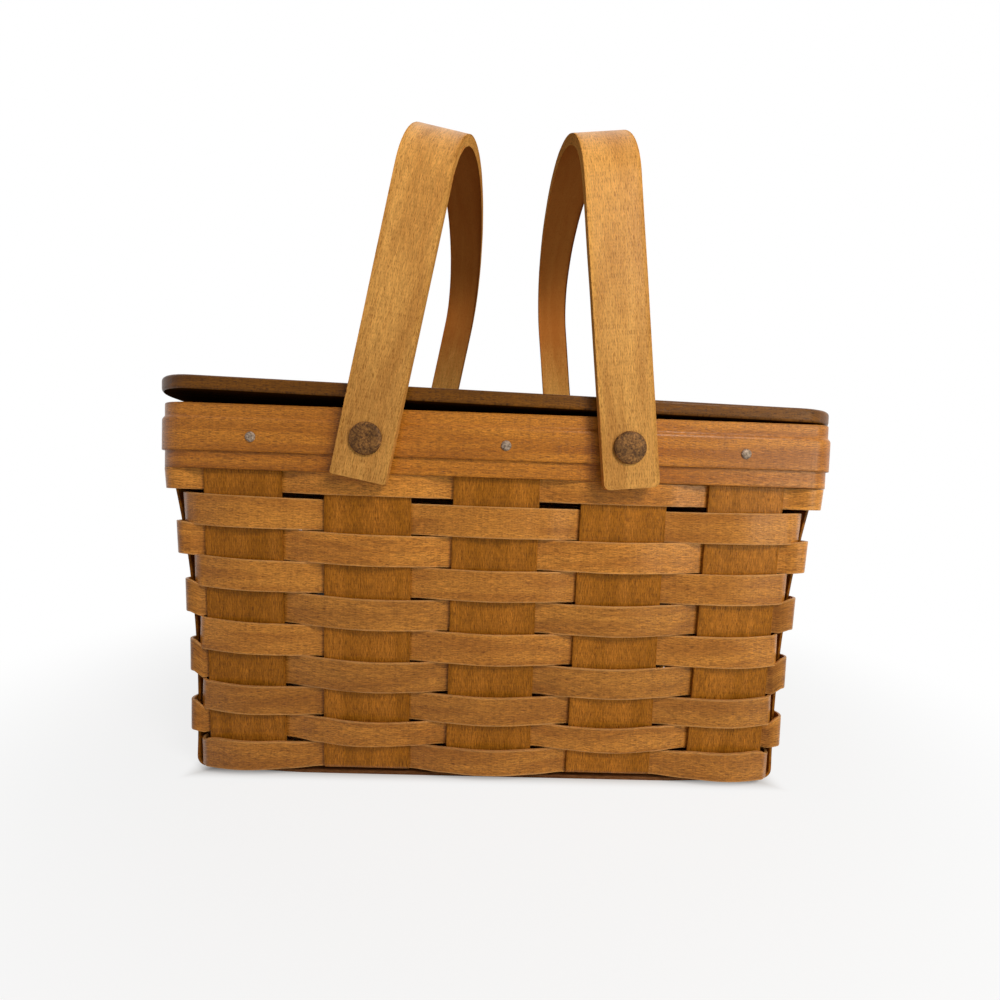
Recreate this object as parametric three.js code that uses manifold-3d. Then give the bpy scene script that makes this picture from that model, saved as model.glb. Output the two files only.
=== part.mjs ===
// Small splint picnic basket with two swing handles and a hinged board lid.
// Millimetres, +Z up. The origin is the middle of the footprint on the table, and the front faces -Y.
import * as THREE from 'three';
import * as BufferGeometryUtils from 'three/addons/utils/BufferGeometryUtils.js';
import Module from 'manifold-3d';

const wasm = await Module();
wasm.setup();

// Rim and footprint
const rimLength = 305; // over the outer band
const rimDepth = 190;
const rimHeight = 167;
const baseLength = 266.8; // over the uprights where they leave the bottom
const baseDepth = 177;
const rimCornerRadius = 9; // middle of the uprights' thickness
const baseCornerRadius = 3;
const endFlarePower = 2.4; // the ends stand nearly upright below and flare towards the rim

// Uprights, which cross under the bottom
const splintThickness = 1.2;
const splintWidth = 38.5;
const outerSplintWidth = 34; // the front and back uprights next to the corners
const frontCount = 5;
const endCount = 3;
const frontBaseSetback = 3.05; // from the corner of the walls to the nearest upright's edge
const endBaseSetback = 2.2;
const frontRimSetback = 14.7;
const endRimSetback = 8;
const bendRadius = 2.4; // middle of the splint, at the foot of a wall
const splintTopDrop = 3; // splints end this far under the rim
const crossingGap = 0.3; // between splints that cross on the bottom

// Weavers, rings that pass in front of and behind the uprights by turns
const weaverThickness = 1.1;
const narrowWeaverWidth = 10.6;
const rowCount = 10;
const narrowRowCount = 2; // the lowest rows
const rowGap = 0.3;
const topRowGap = 1.4; // the two highest rows stand apart
const floorClearance = 1.6; // under the lowest weaver
const weaveGap = 0.3; // between a weaver and the edge of an upright
const weaverBow = 3.6; // a weaver's offset at the middle of an upright
const topRowBow = 1.7; // the row under the rim is drawn in
const bowFlatHalf = 8.5; // half the straight stretch at the middle of a bow
const cornerOffset = 2.4; // of a weaver that turns a corner, to the side on which it meets the end

// Runners that the basket stands on
const runnerThickness = 1.6;
const runnerWidth = 14;
const runnerLength = 213;
const runnerInset = 2.5; // from the face of the uprights

// Rim layers, from the outside in
const bandThickness = 1;
const bandHeight = 20.8;
const stripThickness = 2.2;
const stripHeight = 20.6;
const stripShow = 7.4; // shows under the outer band
const innerBandThickness = 2;
const innerBandHeight = 19;
const innerBandDrop = 0.5; // under the top of the outer band
const layerGap = 0.2;
const joggleDepth = 1; // the outer band is drawn in above the strip
const joggleLength = 2.4;
const joggleClearance = 0.4;

// Tacks through the rim at every upright without a rivet
const tackShifts = [5.15, 3.5, -3.15]; // from the middles of uprights on the front and back, driven by eye
const tackHeadRadius = 2.3;
const tackHeadHeight = 0.9;
const tackShankRadius = 0.6;
const tackBelowRim = 14.2;
const tackPoint = 0.5; // stands out inside
const tackClearance = 0.15;

// Handles and the rivets that they swing on
const handleWidth = 23;
const handleThickness = 4.5;
const handleStandOff = 1.5; // from the outer band, so that a leg clears the tacks
const handleLeg = 113.8; // straight, above the rivet
const handleRise = 51; // of the arch over the legs, middle of the thickness
const handleFoot = 17.5; // below the rivet
const leftFootRadius = 1;
const rightFootRadius = 3.5;
const leftLeanDegrees = 10.6; // towards the middle of the basket
const rightLeanDegrees = 5.95;
const rivetOffset = 55.8; // from the middle of the basket
const rivetBelowRim = 13.7;
const rivetHeadRadius = 7;
const rivetHeadHeight = 1.7;
const rivetShankRadius = 2.4;
const rivetTailRadius = 3.3;
const rivetTailHeight = 0.8;
const rivetClearance = 0.15;
const spacerRadius = 6;
const burrRadius = 5;
const burrThickness = 1.2;
const burrGap = 0.3;

// Board lid, hinged on a rail that is fixed to the back of the rim
const lidThickness = 6.35;
const lidOverhang = 3; // past the rim at both ends
const lidInset = 0.2; // behind the face of the rim, front and back
const lidCornerRadius = 22;
const lidSeat = 0.3;
const lidWarp = 5.7; // lift of the front left corner of the old board
const railDepth = 34;
const seamGap = 0.6;

// Butt hinges on top of the lid and the rail
const hingeOffset = 95; // from the middle of the basket
const hingeWidth = 24;
const leafDepth = 14;
const leafThickness = 0.8;
const leafSeat = 0.12;
const knuckleRadius = 1.7;
const knuckleGap = 0.25;
const pinRadius = 0.8;
const pinClearance = 0.1;

// Levels and half sizes that follow from the sizes above
const layersOutside = bandThickness + stripThickness + 2 * layerGap; // outside of the uprights at the rim
const stripBottom = rimHeight - bandHeight - stripShow;
const stripTop = stripBottom + stripHeight;
const lowLevel = runnerThickness + crossingGap + splintThickness / 2;
const crossLevel = lowLevel + splintThickness + crossingGap;
const highLevel = crossLevel + splintThickness + crossingGap;
const pivotHeight = rimHeight - rivetBelowRim;
const tackHeight = rimHeight - tackBelowRim;
const halfLength = rimLength / 2;
const halfDepth = rimDepth / 2;
const legFace = halfDepth + handleStandOff;
const innerFaceInset = layersOutside + splintThickness + layerGap + innerBandThickness;
const rowsBottom = crossLevel + splintThickness / 2 + floorClearance;
const rowsHeight = stripBottom - rowsBottom - (topRowGap - rowGap);
const wideRowCount = rowCount - narrowRowCount;
// The wide rows fill what the narrow ones leave
const weaverWidth = (rowsHeight - narrowRowCount * (narrowWeaverWidth + rowGap)) / wideRowCount - rowGap;
const lidBottom = rimHeight + lidSeat;
const lidTop = lidBottom + lidThickness;
const seam = halfDepth - lidInset - railDepth; // between lid and rail
const hingeHeight = lidTop + leafSeat + knuckleRadius;

const basket = new THREE.Group();

function wood(color, roughness) {
  return new THREE.MeshStandardMaterial({ color, roughness, metalness: 0 });
}

function metal(color, roughness) {
  return new THREE.MeshStandardMaterial({ color, roughness, metalness: 1 });
}

function addPiece(name, geometry, material, parent = basket) {
  const mesh = new THREE.Mesh(geometry, material);
  mesh.name = name;
  parent.add(mesh);
  return mesh;
}

// Closed solids and the cuts between them
function solidOf(geometry) {
  const bare = geometry.clone();
  bare.deleteAttribute('normal');
  bare.deleteAttribute('uv');
  const merged = BufferGeometryUtils.mergeVertices(bare, 1e-4);
  const vertProperties = new Float32Array(merged.attributes.position.array);
  const triVerts = new Uint32Array(merged.index.array);
  return new wasm.Manifold(new wasm.Mesh({ numProp: 3, vertProperties, triVerts }));
}

function geometryOf(solid) {
  const mesh = solid.getMesh();
  const geometry = new THREE.BufferGeometry();
  geometry.setAttribute('position', new THREE.BufferAttribute(mesh.vertProperties, 3));
  geometry.setIndex(new THREE.BufferAttribute(mesh.triVerts, 1));
  return geometry;
}

function cutFrom(geometry, tools) {
  let solid = solidOf(geometry);
  for (const tool of tools) {
    solid = solid.subtract(solidOf(tool));
  }
  return geometryOf(solid);
}

function signedVolume(points, faces) {
  let volume = 0;
  for (const [a, b, c] of faces) {
    volume += points[a].dot(points[b].clone().cross(points[c])) / 6;
  }
  return volume;
}

// A solid through a row of convex sections, closed on itself or capped at both ends
function loft(sections, closed) {
  const points = sections.flat();
  const sides = sections[0].length;
  const spans = closed ? sections.length : sections.length - 1;
  let faces = [];
  for (let span = 0; span < spans; span += 1) {
    const here = span * sides;
    const next = ((span + 1) % sections.length) * sides;
    for (let side = 0; side < sides; side += 1) {
      const other = (side + 1) % sides;
      faces.push([here + side, here + other, next + other], [here + side, next + other, next + side]);
    }
  }
  if (!closed) {
    const last = (sections.length - 1) * sides;
    for (let side = 1; side < sides - 1; side += 1) {
      faces.push([0, side + 1, side], [last, last + side, last + side + 1]);
    }
  }
  if (signedVolume(points, faces) < 0) {
    faces = faces.map(([a, b, c]) => [a, c, b]);
  }
  const geometry = new THREE.BufferGeometry().setFromPoints(points);
  geometry.setIndex(faces.flat());
  return geometry;
}

// Distance between uprights that leave a setback at both corners of a wall
function pitchFor(half, setback, count) {
  return (half - setback - splintWidth / 2) / ((count - 1) / 2);
}

const midThickness = splintThickness / 2;
const baseWall = {
  halfLength: baseLength / 2 - midThickness,
  halfDepth: baseDepth / 2 - midThickness,
};
const rimWall = {
  halfLength: halfLength - layersOutside - midThickness,
  halfDepth: halfDepth - layersOutside - midThickness,
};
const frontBasePitch = pitchFor(baseWall.halfLength, frontBaseSetback, frontCount);
const frontRimPitch = pitchFor(rimWall.halfLength, frontRimSetback, frontCount);
const endBasePitch = pitchFor(baseWall.halfDepth, endBaseSetback, endCount);
const endRimPitch = pitchFor(rimWall.halfDepth, endRimSetback, endCount);

// The walls at a height: front and back lean out straight, and the ends follow a curve
function wallAt(height) {
  const lean = THREE.MathUtils.clamp(height / stripBottom, 0, 1);
  const flare = lean ** endFlarePower;
  const { lerp } = THREE.MathUtils;
  return {
    halfLength: lerp(baseWall.halfLength, rimWall.halfLength, flare),
    halfDepth: lerp(baseWall.halfDepth, rimWall.halfDepth, lean),
    radius: lerp(baseCornerRadius, rimCornerRadius, lean),
    frontPitch: lerp(frontBasePitch, frontRimPitch, lean),
    endPitch: lerp(endBasePitch, endRimPitch, lean),
  };
}

// A point on a rounded rectangle, from its front middle to the right, with its outward normal
function aroundWall(distance, { halfLength: length, halfDepth: depth, radius }) {
  const frontReach = length - radius + (Math.PI / 4) * radius; // to the middle of a corner
  const endReach = depth - radius + (Math.PI / 4) * radius;
  const quarter = frontReach + endReach;
  const halfTurns = Math.floor((distance + frontReach) / (2 * quarter));
  const rest = distance - halfTurns * 2 * quarter;
  const onEnd = rest > frontReach;
  const along = onEnd ? rest - quarter : rest;
  const turn = 2 * halfTurns + (onEnd ? 1 : 0);
  const half = onEnd ? depth : length;
  const out = onEnd ? length : depth;
  const flat = half - radius;
  const angle = Math.max(Math.abs(along) - flat, 0) / radius;
  const sign = Math.sign(along);
  const normal = new THREE.Vector2(sign * Math.sin(angle), -Math.cos(angle));
  const point = new THREE.Vector2(sign * Math.min(Math.abs(along), flat), -(out - radius));
  point.addScaledVector(normal, radius);
  const spin = (turn * Math.PI) / 2;
  const origin = new THREE.Vector2();
  return { point: point.rotateAround(origin, spin), normal: normal.rotateAround(origin, spin), quarter };
}

function perimeterQuarter(wall) {
  return aroundWall(0, wall).quarter;
}

// Heights of the weaver rows, numbered from the rim down
const rows = [];
let rowBottom = rowsBottom;
for (let number = rowCount; number >= 1; number -= 1) {
  const width = number > rowCount - narrowRowCount ? narrowWeaverWidth : weaverWidth;
  const bow = number === 1 ? topRowBow : weaverBow;
  rows.push({ number, bow, low: rowBottom, high: rowBottom + width });
  rowBottom += width + (number === 2 ? topRowGap : rowGap);
}

// A front upright's middle and width: those next to the corners are trimmed on the side of the corner
function frontUpright(index, pitch) {
  const offset = index - (frontCount - 1) / 2;
  const isOuter = index === 0 || index === frontCount - 1;
  const trim = isOuter ? splintWidth - outerSplintWidth : 0;
  return { middle: offset * pitch - (Math.sign(offset) * trim) / 2, width: splintWidth - trim };
}

function endUpright(index, pitch) {
  return { middle: (index - (endCount - 1) / 2) * pitch, width: splintWidth };
}

// The uprights in their order round a wall, each with the distance at which it stands
function uprightStations(wall) {
  const quarter = perimeterQuarter(wall);
  const stations = [];
  for (let turn = 0; turn < 4; turn += 1) {
    const isEnd = turn % 2 === 1;
    const count = isEnd ? endCount : frontCount;
    for (let index = 0; index < count; index += 1) {
      const upright = isEnd ? endUpright(index, wall.endPitch) : frontUpright(index, wall.frontPitch);
      stations.push({ isEnd, turn, at: turn * quarter + upright.middle, half: upright.width / 2 });
    }
  }
  return { stations, quarter };
}

// A weaver's course at one height: distance round the wall and offset from it.
// At a corner the weaver has crossed over by the time that it turns on to the end, or off it.
const cornerSteps = 2;

function weaverCourse(wall, row) {
  const edgeOffset = (splintThickness + weaverThickness) / 2 + weaveGap;
  const tightest = wall.radius - weaverThickness; // a weaver inside a corner can't turn on less
  const { stations, quarter } = uprightStations(wall);
  const course = [];
  stations.forEach((here, index) => {
    const isLast = index === stations.length - 1;
    const next = isLast ? { ...stations[0], at: stations[0].at + 4 * quarter } : stations[index + 1];
    const side = (index + row.number) % 2 === 0 ? 1 : -1;
    const leave = here.at + here.half;
    const reach = next.at - next.half;
    course.push({ at: here.at - bowFlatHalf, offset: side * row.bow });
    course.push({ at: here.at + bowFlatHalf, offset: side * row.bow });
    if (here.isEnd === next.isEnd) {
      course.push({ at: leave, offset: side * edgeOffset });
      course.push({ at: reach, offset: -side * edgeOffset });
      return;
    }
    const endSide = here.isEnd ? side : -side;
    const turned = endSide * (endSide > 0 ? cornerOffset : Math.min(cornerOffset, tightest));
    const frontReach = wall.halfLength - wall.radius + (Math.PI / 4) * wall.radius;
    const corner = here.isEnd ? (here.turn + 1) * quarter - frontReach : here.turn * quarter + frontReach;
    const stops = [
      { at: leave, offset: here.isEnd ? turned : side * edgeOffset },
      { at: corner, offset: turned },
      { at: reach, offset: here.isEnd ? -side * edgeOffset : turned },
    ];
    course.push(stops[0]);
    for (let stop = 1; stop < stops.length; stop += 1) {
      for (let step = 1; step <= cornerSteps; step += 1) {
        const share = step / cornerSteps;
        course.push({
          at: THREE.MathUtils.lerp(stops[stop - 1].at, stops[stop].at, share),
          offset: THREE.MathUtils.lerp(stops[stop - 1].offset, stops[stop].offset, share),
        });
      }
    }
  });
  return course;
}

function weaverGeometry(row) {
  const edges = [row.low, row.high].map((height) => {
    const wall = wallAt(height);
    return weaverCourse(wall, row).map(({ at, offset }) => {
      const { point, normal } = aroundWall(at, wall);
      return [-1, 1].map((face) => {
        const spot = point.clone().addScaledVector(normal, offset + (face * weaverThickness) / 2);
        return new THREE.Vector3(spot.x, spot.y, height);
      });
    });
  });
  const sections = edges[0].map((low, index) => {
    const high = edges[1][index];
    return [low[0], low[1], high[1], high[0]];
  });
  return loft(sections, true);
}

// Heights at which a splint's course up a wall has a point: on the ends the row edges, and the rim
const frontHeights = [stripBottom, rimHeight - splintTopDrop];
const lowerRows = rows.filter((row) => row.number > 1);
const endHeights = [...lowerRows.map((row) => row.high + rowGap / 2), ...frontHeights];
const bendSteps = 3;

// Half of a splint's course: out along the bottom, round the bend and up the wall.
// Each point has its distance out, its height, its outward direction and its sideways shift.
function wallCourse(level, heights, reachAt, shiftAt) {
  const foot = reachAt(level + bendRadius) - bendRadius;
  const course = [];
  for (let step = 0; step <= bendSteps; step += 1) {
    const angle = (step / bendSteps) * (Math.PI / 2);
    course.push({
      out: foot + bendRadius * Math.sin(angle),
      height: level + bendRadius * (1 - Math.cos(angle)),
      normal: new THREE.Vector2(Math.sin(angle), -Math.cos(angle)),
      shift: shiftAt(0),
    });
  }
  for (const height of heights) {
    course.push({ out: reachAt(height), height, normal: new THREE.Vector2(1, 0), shift: shiftAt(height) });
  }
  return course;
}

// A flat splint along a whole course, from one rim over the bottom to the other
function splintGeometry(width, bottomCourse, half, place) {
  const mirrored = half.map((spot) => ({
    ...spot,
    out: -spot.out,
    normal: new THREE.Vector2(-spot.normal.x, spot.normal.y),
  }));
  const course = [...mirrored.reverse(), ...bottomCourse, ...half];
  const sections = course.map(({ out, height, normal, shift }) => {
    const corners = [[-1, -1], [1, -1], [1, 1], [-1, 1]];
    return corners.map(([side, face]) => {
      const thick = (face * splintThickness) / 2;
      const across = shift + (side * width) / 2;
      return place(across, out + thick * normal.x, height + thick * normal.y);
    });
  });
  return loft(sections, false);
}

// Places along the walls where fasteners go through the rim: a point on the outer band and a direction
function rimSpots() {
  const wall = wallAt(rimHeight);
  const spots = [];
  tackShifts.forEach((shift, index) => {
    const upright = 2 * index;
    const place = frontUpright(upright, wall.frontPitch).middle + shift;
    spots.push({ name: `front_${upright + 1}`, x: place, y: -halfDepth, turn: 0 });
    spots.push({ name: `back_${upright + 1}`, x: place, y: halfDepth, turn: Math.PI });
  });
  for (let index = 0; index < endCount; index += 1) {
    const across = endUpright(index, wall.endPitch).middle;
    spots.push({ name: `left_${index + 1}`, x: -halfLength, y: across, turn: -Math.PI / 2 });
    spots.push({ name: `right_${index + 1}`, x: halfLength, y: across, turn: Math.PI / 2 });
  }
  return spots;
}

const rivetSpots = [
  { name: 'front_left', x: -rivetOffset, y: -halfDepth, turn: 0 },
  { name: 'front_right', x: rivetOffset, y: -halfDepth, turn: 0 },
  { name: 'back_left', x: -rivetOffset, y: halfDepth, turn: Math.PI },
  { name: 'back_right', x: rivetOffset, y: halfDepth, turn: Math.PI },
];
const tackSpots = rimSpots();

// A round bar that bores through the whole rim at one spot
const tackSides = 8;
const rivetSides = 14;

function drillAt({ x, y, turn }, radius, height, sides) {
  const reach = 4 * innerFaceInset;
  const drill = new THREE.CylinderGeometry(radius, radius, reach, sides);
  drill.rotateZ(turn).translate(x, y, height);
  return drill;
}

const rimDrills = [
  ...tackSpots.map((spot) => drillAt(spot, tackShankRadius + tackClearance, tackHeight, tackSides)),
  ...rivetSpots.map((spot) => drillAt(spot, rivetShankRadius + rivetClearance, pivotHeight, rivetSides)),
];

// A hoop round the rim from a section of offsets from the outer band's face and heights
const hoopCornerSteps = 5;

function hoopGeometry(section) {
  const cornerRadius = rimCornerRadius + splintThickness / 2 + layersOutside;
  const wall = { halfLength, halfDepth, radius: cornerRadius };
  const quarter = perimeterQuarter(wall);
  const sections = [];
  for (let turn = 0; turn < 4; turn += 1) {
    const flat = (turn % 2 === 0 ? halfLength : halfDepth) - cornerRadius;
    for (let step = 0; step <= hoopCornerSteps; step += 1) {
      const arc = (step / hoopCornerSteps) * (Math.PI / 2) * cornerRadius;
      const { point, normal } = aroundWall(turn * quarter + flat + arc, wall);
      sections.push(section.map(([offset, height]) => {
        const spot = point.clone().addScaledVector(normal, offset);
        return new THREE.Vector3(spot.x, spot.y, height);
      }));
    }
  }
  return cutFrom(loft(sections, true), rimDrills);
}

// Woven bottom and uprights
function crossSplint(index) {
  const place = (across, out, height) => new THREE.Vector3(across, out, height);
  const half = wallCourse(
    crossLevel,
    frontHeights,
    (height) => wallAt(height).halfDepth,
    (height) => frontUpright(index, wallAt(height).frontPitch).middle,
  );
  const { width } = frontUpright(index, frontBasePitch);
  return cutFrom(splintGeometry(width, [], half, place), rimDrills);
}

function longSplint(index) {
  const place = (across, out, height) => new THREE.Vector3(out, across, height);
  const levelAt = (crossing) => ((index + crossing) % 2 === 0 ? lowLevel : highLevel);
  const half = wallCourse(
    levelAt(0),
    endHeights,
    (height) => wallAt(height).halfLength,
    (height) => endUpright(index, wallAt(height).endPitch).middle,
  );
  const bottom = [];
  for (let crossing = 0; crossing < frontCount; crossing += 1) {
    const crossed = frontUpright(crossing, frontBasePitch);
    for (const side of [-1, 1]) {
      bottom.push({
        out: crossed.middle + (side * crossed.width) / 2,
        height: levelAt(crossing),
        normal: new THREE.Vector2(0, -1),
        shift: endUpright(index, endBasePitch).middle,
      });
    }
  }
  return cutFrom(splintGeometry(splintWidth, bottom, half, place), rimDrills);
}

for (let index = 0; index < frontCount; index += 1) {
  addPiece(`cross_splint_${index + 1}`, crossSplint(index), wood(0xa9702f, 0.55));
}
for (let index = 0; index < endCount; index += 1) {
  addPiece(`long_splint_${index + 1}`, longSplint(index), wood(0x9c672c, 0.55));
}
for (const row of rows) {
  const name = `weaver_row_${String(row.number).padStart(2, '0')}`;
  addPiece(name, weaverGeometry(row), wood(0xb27a38, 0.5));
}

// Runners under the front and back edges
for (const [name, side] of [['front', -1], ['back', 1]]) {
  const runner = new THREE.BoxGeometry(runnerLength, runnerWidth, runnerThickness);
  const middle = baseDepth / 2 - runnerInset - runnerWidth / 2;
  const mesh = addPiece(`bottom_runner_${name}`, runner, wood(0x8a5a30, 0.65));
  mesh.position.set(0, side * middle, runnerThickness / 2);
}

// Rim hoops
const stripOuter = -bandThickness - layerGap;
const stripInner = stripOuter - stripThickness;
const bandBottom = rimHeight - bandHeight;
const joggleBottom = stripTop + joggleClearance;
const joggleTop = joggleBottom + joggleLength;
addPiece('outer_rim_band', hoopGeometry([
  [0, bandBottom],
  [0, joggleBottom],
  [-joggleDepth, joggleTop],
  [-joggleDepth, rimHeight],
  [-joggleDepth - bandThickness, rimHeight],
  [-joggleDepth - bandThickness, joggleTop],
  [-bandThickness, joggleBottom],
  [-bandThickness, bandBottom],
]), wood(0xb57a36, 0.5));
addPiece('rim_strip', hoopGeometry([
  [stripOuter, stripBottom],
  [stripOuter, stripTop],
  [stripInner, stripTop],
  [stripInner, stripBottom],
]), wood(0xb87d3a, 0.5));
const innerBandTop = rimHeight - innerBandDrop;
const innerBandInner = -innerFaceInset;
const innerBandOuter = innerBandInner + innerBandThickness;
addPiece('inner_rim_band', hoopGeometry([
  [innerBandOuter, innerBandTop - innerBandHeight],
  [innerBandOuter, innerBandTop],
  [innerBandInner, innerBandTop],
  [innerBandInner, innerBandTop - innerBandHeight],
]), wood(0xa06a2e, 0.55));

// Tacks and rivets are turned about Y, with y = 0 on the outer band's face and +Y into the basket
function turned(profile, sides) {
  return new THREE.LatheGeometry(profile.map(([radius, y]) => new THREE.Vector2(radius, y)), sides);
}

function setInRim(name, geometry, material, { x, y, turn }, height) {
  const mesh = addPiece(name, geometry, material);
  mesh.position.set(x, y, height);
  mesh.rotation.z = turn;
}

for (const spot of tackSpots) {
  const seat = -layerGap / 2;
  const geometry = turned([
    [0, seat - tackHeadHeight],
    [tackHeadRadius * 0.6, seat - tackHeadHeight * 0.8],
    [tackHeadRadius, seat],
    [tackShankRadius, seat],
    [tackShankRadius, innerFaceInset],
    [0, innerFaceInset + tackPoint],
  ], tackSides);
  setInRim(`tack_${spot.name}`, geometry, metal(0x9a9a96, 0.4), spot, tackHeight);
}

const headSeat = -(handleStandOff + handleThickness + rivetClearance);
const spacerSeat = rivetClearance - handleStandOff;
const burrSeat = innerFaceInset + burrGap;
const tailSeat = burrSeat + burrThickness + burrGap;
for (const spot of rivetSpots) {
  const rivet = turned([
    [0, headSeat - rivetHeadHeight],
    [rivetHeadRadius * 0.8, headSeat - rivetHeadHeight],
    [rivetHeadRadius, headSeat - rivetHeadHeight * 0.6],
    [rivetHeadRadius, headSeat],
    [rivetShankRadius, headSeat],
    [rivetShankRadius, tailSeat],
    [rivetTailRadius, tailSeat],
    [rivetTailRadius * 0.7, tailSeat + rivetTailHeight],
    [0, tailSeat + rivetTailHeight],
  ], rivetSides);
  setInRim(`rivet_${spot.name}`, rivet, metal(0x6e4a38, 0.55), spot, pivotHeight);

  const bore = rivetShankRadius + rivetClearance;
  const washers = [
    { name: 'handle_spacer', radius: spacerRadius, from: spacerSeat, to: -rivetClearance },
    { name: 'rivet_burr', radius: burrRadius, from: burrSeat, to: burrSeat + burrThickness },
  ];
  for (const { name, radius, from, to } of washers) {
    const washer = turned([[bore, from], [radius, from], [radius, to], [bore, to], [bore, from]], rivetSides);
    setInRim(`${name}_${spot.name}`, washer, metal(0x7a5540, 0.5), spot, pivotHeight);
  }
}

// Handles: a bent strap over two straight legs, drawn about the rivets with the legs upright
const archSteps = 16;
const footSteps = 3;

function handleGeometry(footRadius) {
  const middle = legFace + handleThickness / 2;
  const course = [];
  for (let step = 0; step <= footSteps; step += 1) {
    const angle = (step / footSteps) * (Math.PI / 2);
    const narrowing = footRadius * (1 - Math.sin(angle));
    const height = -handleFoot + footRadius * (1 - Math.cos(angle));
    course.push({ y: -middle, height, normal: new THREE.Vector2(-1, 0), narrowing });
  }
  for (let step = 0; step <= archSteps; step += 1) {
    const angle = (step / archSteps) * Math.PI;
    const normal = new THREE.Vector2(-Math.cos(angle) * handleRise, Math.sin(angle) * middle).normalize();
    const height = handleLeg + handleRise * Math.sin(angle);
    course.push({ y: -middle * Math.cos(angle), height, normal, narrowing: 0 });
  }
  for (let step = footSteps; step >= 0; step -= 1) {
    const foot = course[step];
    course.push({ ...foot, y: middle, normal: new THREE.Vector2(1, 0) });
  }
  const sections = course.map(({ y, height, normal, narrowing }) => {
    const half = handleWidth / 2 - narrowing;
    return [[-1, -1], [1, -1], [1, 1], [-1, 1]].map(([side, face]) => {
      const thick = (face * handleThickness) / 2;
      return new THREE.Vector3(side * half, y + thick * normal.x, height + thick * normal.y);
    });
  });
  const bar = new THREE.CylinderGeometry(
    rivetShankRadius + rivetClearance,
    rivetShankRadius + rivetClearance,
    2 * (middle + handleThickness),
    rivetSides,
  );
  return cutFrom(loft(sections, false), [bar]);
}

const handles = [
  { name: 'left_handle', x: -rivetOffset, lean: leftLeanDegrees, footRadius: leftFootRadius },
  { name: 'right_handle', x: rivetOffset, lean: -rightLeanDegrees, footRadius: rightFootRadius },
];
for (const { name, x, lean, footRadius } of handles) {
  const swing = new THREE.Group();
  swing.position.set(x, 0, pivotHeight);
  swing.rotation.y = THREE.MathUtils.degToRad(lean);
  basket.add(swing);
  addPiece(name, handleGeometry(footRadius), wood(0xc48d4c, 0.5), swing);
}

// Lid and rail: boards with two rounded corners, cut from one outline at the seam
const boardHalfLength = halfLength + lidOverhang;
const boardHalfDepth = halfDepth - lidInset;

function boardOutline(farY, nearY) {
  const side = Math.sign(farY);
  const shape = new THREE.Shape();
  shape.moveTo(-boardHalfLength, nearY);
  shape.lineTo(boardHalfLength, nearY);
  shape.lineTo(boardHalfLength, farY - side * lidCornerRadius);
  const cornerY = farY - side * lidCornerRadius;
  const cornerX = boardHalfLength - lidCornerRadius;
  const isBack = side > 0;
  shape.absarc(cornerX, cornerY, lidCornerRadius, 0, side * (Math.PI / 2), !isBack);
  shape.absarc(-cornerX, cornerY, lidCornerRadius, side * (Math.PI / 2), side * Math.PI, !isBack);
  shape.closePath();
  return shape;
}

const boardCurveSegments = 6;

function boardGeometry(shape, from, to) {
  const board = new THREE.ExtrudeGeometry(shape, {
    depth: to - from,
    bevelEnabled: false,
    curveSegments: boardCurveSegments,
  });
  return board.translate(0, 0, from);
}

// The lid has warped: its front left corner stands up, and its hinged edge has stayed flat
const warpColumns = 6;
const warpRows = 6;

function warpedSlab(nearY) {
  const depth = nearY + boardHalfDepth;
  const margin = 2;
  const slab = new THREE.BoxGeometry(
    2 * (boardHalfLength + margin),
    depth + 2 * margin,
    lidThickness,
    warpColumns,
    warpRows,
    1,
  );
  slab.translate(0, nearY - depth / 2, lidBottom + lidThickness / 2);
  const position = slab.attributes.position;
  for (let index = 0; index < position.count; index += 1) {
    const towardsLeft = 0.5 - position.getX(index) / (2 * boardHalfLength);
    const towardsFront = Math.max(nearY - position.getY(index), 0) / depth;
    position.setZ(index, position.getZ(index) + lidWarp * towardsLeft * towardsFront ** 2);
  }
  return slab;
}

const lidNear = seam - seamGap / 2;
const lidPrism = boardGeometry(
  boardOutline(-boardHalfDepth, lidNear),
  lidBottom - lidWarp,
  lidTop + 2 * lidWarp,
);
const lidBoard = geometryOf(solidOf(warpedSlab(lidNear)).intersect(solidOf(lidPrism)));
addPiece('lid', lidBoard, wood(0x6a411f, 0.5));
const railNear = seam + seamGap / 2;
const railBoard = boardGeometry(boardOutline(boardHalfDepth, railNear), lidBottom, lidTop);
addPiece('lid_rail', railBoard, wood(0x6a411f, 0.5));

// Hinges: the rail leaf carries the two outer knuckles and the lid leaf the middle one
const knuckleSides = 12;
const knuckleLength = (hingeWidth - 2 * knuckleGap) / 3;

function knuckle(radius, length, x) {
  const barrel = new THREE.CylinderGeometry(radius, radius, length, knuckleSides);
  return barrel.rotateZ(Math.PI / 2).translate(x, 0, 0);
}

// A leaf about the hinge line, on the side of +Y or -Y, with knuckles at the given places
function leafGeometry(side, places) {
  const setBack = knuckleRadius + knuckleGap;
  const plate = new THREE.BoxGeometry(hingeWidth, leafDepth, leafThickness);
  const level = leafThickness / 2 - knuckleRadius;
  plate.translate(0, side * (setBack + leafDepth / 2), level);
  let solid = solidOf(plate);
  for (const place of places) {
    const web = new THREE.BoxGeometry(knuckleLength, setBack + leafThickness, leafThickness);
    web.translate(place, (side * (setBack + leafThickness)) / 2, level);
    solid = solid.add(solidOf(web)).add(solidOf(knuckle(knuckleRadius, knuckleLength, place)));
  }
  return geometryOf(solid.subtract(solidOf(knuckle(pinRadius + pinClearance, 2 * hingeWidth, 0))));
}

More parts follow.
